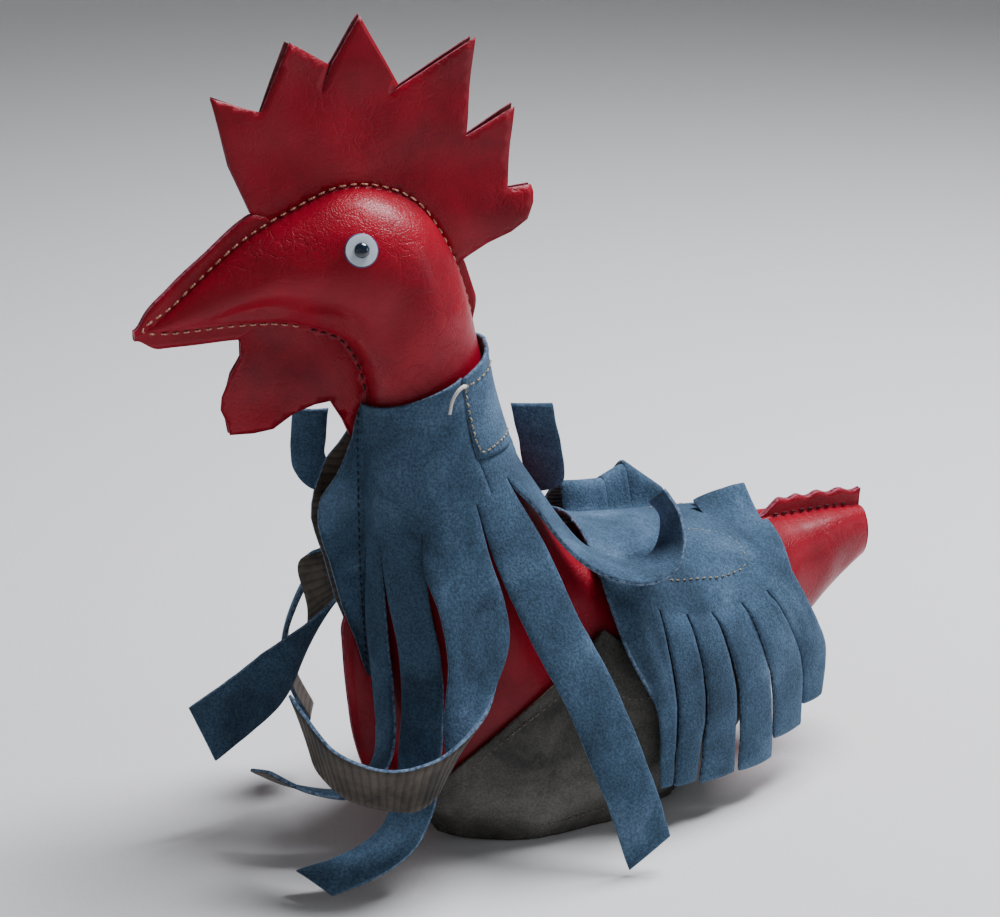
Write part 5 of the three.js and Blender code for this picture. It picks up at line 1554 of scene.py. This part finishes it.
class SewSeams(bpy.types.Operator):
    """Rows of separate hand stitches: beak, crown, throat, cape front, chest, tail, patches, saddle"""
    bl_idname = "rooster.sewing"
    bl_label = "Sewing"

    def execute(self, context):
        for side, name in ((1, "left"), (-1, "right")):
            above = seam_path(UPPER, 9.4, 1.5, 1.0, side)[0]
            below = seam_path(LOWER, 1.5, 4.6, -1.0, side)[0]
            tip = np.array([[above[-1, 0], -151, 220.3]])
            turn = spline(np.concatenate([above[-30::14], tip, below[:30:14]]), np.linspace(0, 1, 60))
            whole = np.concatenate([above[:-30], turn, below[30:]])
            sew(f"crown_stitches_{name}", whole, np.tile([1.0, 0, 0], (len(whole), 1)), side,
                tan_thread(), (f"head_thread_{name}",), size=0.8, seed=3)
            # The throat, tail and chest rows use the darker thread, which partly paints the shade along these
            # seams.
            path, normals = seam_path(LOWER, 4.7, 9.8, -1.0, side)
            sew(f"throat_stitches_{name}", path, normals, side, wine_and_shade_thread(), size=0.9, seed=4)
            path, normals = seam_path(UPPER, 24.9, 27.8, 1.0, side)
            sew(f"tail_stitches_{name}", path, normals, side, wine_and_shade_thread(), size=0.85, seed=5)
            path, normals = seam_path(LOWER, 14.2, 17.4, -1.0, side)
            sew(f"chest_stitches_{name}", path, normals, side, wine_and_shade_thread(), size=0.85, seed=6)
            path, normals = on_body(PATCH_STITCH, PATCH_LIFT + SUEDE)
            sew(f"patch_stitches_{name}", path, normals, side, dun_thread(), (f"patch_thread_{name}",),
                pitch=0.72, length=0.62, size=0.6, seed=7)
            smooth = spline(np.array([(p[0], p[1] * 100, 0) for p in SADDLE_STITCH], float),
                            np.linspace(0, 1, 400))
            y, turn = smooth[:, 0], smooth[:, 1] / 100
            path = saddle_points(y, turn, np.full(400, SADDLE_LIFT + SUEDE))
            sew(f"saddle_stitches_{name}", path, saddle_normals(y, turn), side, straw_thread(),
                (f"saddle_thread_{name}",), pitch=0.72, length=0.6, size=0.6, seed=8)
            self.sew_cape_front(side, name)
        self.sew_flap()
        return {"FINISHED"}

    def sew_cape_front(self, side, name):
        z = np.linspace(180, 68, 200)
        away = np.interp(z, [66, 100, 120, 170, 180], [-68.6, -70.2, -70.6, -70.2, -69.4])
        x = np.full(200, SEAM_GAP / 2 + LEATHER + 0.55 + SUEDE)
        sew(f"cape_front_stitches_{name}", np.column_stack([x, away, z]),
            np.tile([1.0, 0, 0], (200, 1)), side, navy_thread(), pitch=0.8, length=0.8, size=0.9, seed=9)

    def sew_flap(self):
        lift = CAPE_LIFT + 0.35 + SUEDE
        for side, name in ((1, "left"), (-1, "right")):
            path, normals = on_body(FLAP_STITCH, lift)
            sew(f"flap_stitches_{name}", path, normals, side, straw_thread(),
                ("collar_thread",) if side > 0 else (), pitch=0.7, length=0.72, size=0.75, seed=10)
            path, normals = on_body(FLAP_TOP_STITCH, lift + 0.2)
            sew(f"collar_stitches_{name}", path, normals, side, straw_thread(), pitch=0.9, length=0.9,
                size=0.7, seed=11)
        knot = offset_points(10.08, 0.41, lift + 0.9)
        out = body_normals(10.08, 0.41)
        loose = np.array([
            knot, knot + out * 1.6 + [0, -1.8, 0.6], knot + out * 2.4 + [0, -4.6, -0.6],
            knot + out * 2.2 + [0, -6.8, -4.2], knot + out * 1.6 + [0, -7.6, -9.6]])
        end = spline(loose, np.linspace(0, 1, 26))
        piece = curl_tube("loose_thread_end", end, 0.85, twisted_thread(
            "unwaxed cotton thread, white", "#E9E4DA", "#C4BDB0"), "body")
        around = [knot + np.array([0.9 * math.cos(a), 0.9 * math.sin(a), 0.5 * math.sin(2 * a)])
                  for a in np.linspace(0, 4.2 * math.pi, 40)]
        curl_tube("thread_knot", np.array(around), 0.42, straw_thread(), "body")


# ---- what is inside and underneath ----
def build_wadding(name, node, first, last, deep):
    """Wadding that keeps a little under the leather, so the leather's hollows stay clear of it."""
    u = np.linspace(first, last, 60)[:, None]
    turns = np.concatenate([np.linspace(0.03, 0.97, 24)])[None, :]
    half = offset_points(u, turns, -(LEATHER + deep))
    half[..., 0] = np.maximum(half[..., 0], 0.4)
    half[..., 2] = np.maximum(half[..., 2], FLOOR + LEATHER + deep)
    ring = np.concatenate([half, mirror(half[:, ::-1])], axis=1)
    rows, columns = ring.shape[:2]
    faces = [(i * columns + j, i * columns + (j + 1) % columns,
              (i + 1) * columns + (j + 1) % columns, (i + 1) * columns + j)
             for i in range(rows - 1) for j in range(columns)]
    faces += [tuple(range(columns))[::-1], tuple((rows - 1) * columns + j for j in range(columns))]
    piece = new_piece(name, ring.reshape(-1, 3), faces,
                      [plain_fibre("carded wadding", "#EFE9DC", "#CFC7B6", 4.0)])
    return place(piece, "body", (node,), "stuffing")


class FinishHidden(bpy.types.Operator):
    """Sole and ballast keep their solids, with the finish of what they are; the stuffing solids give way to
    wadding
    """
    bl_idname = "rooster.inner_pieces"
    bl_label = "Sole and inner pieces"

    def execute(self, context):
        build_wadding("head_wadding", "head_stuffing", 1.9, 11.2, 4.6)
        build_wadding("body_wadding", "body_stuffing", 11.6, 26.8, 3.2)
        finishes = {
            "base_sole": plain_fibre("bark-tanned sole leather", "#6A4632", "#4C3022", 6.0, 0.7),
            "ballast_bag": plain_fibre("calico bag of sand", "#BFB08F", "#9A8B6C", 1.5),
        }
        for node, material in finishes.items():
            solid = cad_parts[node]
            solid.data.materials.clear()
            solid.data.materials.append(material)
        return {"FINISHED"}


# ---- stage ----
TARGET = (0.0, 0.0, 0.150)


def soft_light(name, at, size, watts, colour="#FFFFFF", towards=TARGET):
    light = bpy.data.lights.new(name, "AREA")
    light.shape = "DISK"
    light.size = size
    light.energy = watts
    light.color = rgb(colour)[:3]
    lamp = bpy.data.objects.new(name, light)
    lamp.location = at
    lamp.rotation_euler = (Vector(towards) - Vector(at)).to_track_quat("-Z", "Y").to_euler()
    bpy.context.scene.collection.objects.link(lamp)


class SetStage(bpy.types.Operator):
    """Pale floor that curves up all round, soft lights and the camera"""
    bl_idname = "rooster.stage"
    bl_label = "Stage"

    def execute(self, context):
        stage = context.scene.rooster_stage
        self.lay_floor(stage)
        self.hang_lights()
        self.stand_camera(stage)
        return {"FINISHED"}

    def lay_floor(self, stage):
        profile = [(0.01, 0.0), (1.0, 0.0), (2.2, 0.0)]
        profile += [(2.2 + 0.9 * math.sin(a), 0.9 - 0.9 * math.cos(a)) for a in np.linspace(0.1, 1.5, 14)]
        profile += [(3.1, 4.5)]
        round_it = np.linspace(0, 2 * math.pi, 97)[:-1]
        points = [(r * math.cos(a) / MM, r * math.sin(a) / MM, z / MM) for r, z in profile for a in round_it]
        faces = [(i * 96 + j, i * 96 + (j + 1) % 96, (i + 1) * 96 + (j + 1) % 96, (i + 1) * 96 + j)
                 for i in range(len(profile) - 1) for j in range(96)]
        faces.append(tuple(range(96))[::-1])
        paper = plain_fibre("seamless paper, off-white", stage.floor, stage.floor, 3.0)
        new_piece("floor_sweep", points, faces, [paper])

    def hang_lights(self):
        soft_light("window_light", (-0.06, 0.52, 1.34), 0.7, 42, "#F7F8FF")
        soft_light("side_light", (0.75, 1.25, 0.55), 0.7, 3, "#EEF3FF")
        soft_light("front_fill", (0.9, -1.1, 0.7), 1.2, 0.3, "#FFF6EC")
        world = bpy.data.worlds.new("soft studio air")
        world.use_nodes = True
        ground = world.node_tree.nodes["Background"]
        ground.inputs[0].default_value = rgb("#F3F5F8")
        ground.inputs[1].default_value = 0.1
        bpy.context.scene.world = world

    def stand_camera(self, stage):
        lens = bpy.data.cameras.new("view")
        lens.lens = 81
        lens.sensor_width = 36
        lens.shift_x = -0.0204
        lens.shift_y = -0.0043
        lens.clip_start, lens.clip_end = 0.01, 100
        camera = bpy.data.objects.new("view", lens)
        a, e = stage.azimuth, stage.elevation
        back = Vector((math.sin(a) * math.cos(e), -math.cos(a) * math.cos(e), math.sin(e)))
        camera.location = Vector(TARGET) + back * stage.distance
        camera.rotation_euler = (-back).to_track_quat("-Z", "Y").to_euler()
        bpy.context.scene.collection.objects.link(camera)
        bpy.context.scene.camera = camera


OPERATORS = (
    BuildSidePanels, BuildComb, BuildWattle, BuildEyes, BuildSidePatches, BuildCape, BuildNeckFringe,
    BuildSaddle, BuildSaddleFringe, SewSeams, FinishHidden, SetStage,
)


class RoosterPanel(bpy.types.Panel):
    """Lists the rooster's pieces and their sizes"""
    bl_idname = "VIEW3D_PT_rooster"
    bl_label = "Rooster"
    bl_space_type = "VIEW_3D"
    bl_region_type = "UI"
    bl_category = "Rooster"

    def draw(self, context):
        scene = context.scene
        for group in ("rooster_leather", "rooster_suede", "rooster_sewing", "rooster_stage"):
            box = self.layout.box()
            settings = getattr(scene, group)
            for name in settings.__annotations__:
                box.prop(settings, name)
        for operator in OPERATORS:
            self.layout.operator(operator.bl_idname)


GROUPS = {
    "rooster_leather": RoosterLeather, "rooster_suede": RoosterSuede,
    "rooster_sewing": RoosterSewing, "rooster_stage": RoosterStage,
}


def register():
    for name, group in GROUPS.items():
        bpy.utils.register_class(group)
        setattr(bpy.types.Scene, name, bpy.props.PointerProperty(type=group))
    for operator in OPERATORS:
        bpy.utils.register_class(operator)
    bpy.utils.register_class(RoosterPanel)


def unregister():
    bpy.utils.unregister_class(RoosterPanel)
    for operator in reversed(OPERATORS):
        bpy.utils.unregister_class(operator)
    for name, group in GROUPS.items():
        delattr(bpy.types.Scene, name)
        bpy.utils.unregister_class(group)


def main():
    register()
    for operator in OPERATORS:
        family, action = operator.bl_idname.split(".")
        if getattr(getattr(bpy.ops, family), action)() != {"FINISHED"}:
            raise RuntimeError(f"{operator.bl_label} was not built")


if __name__ == "__main__":
    main()
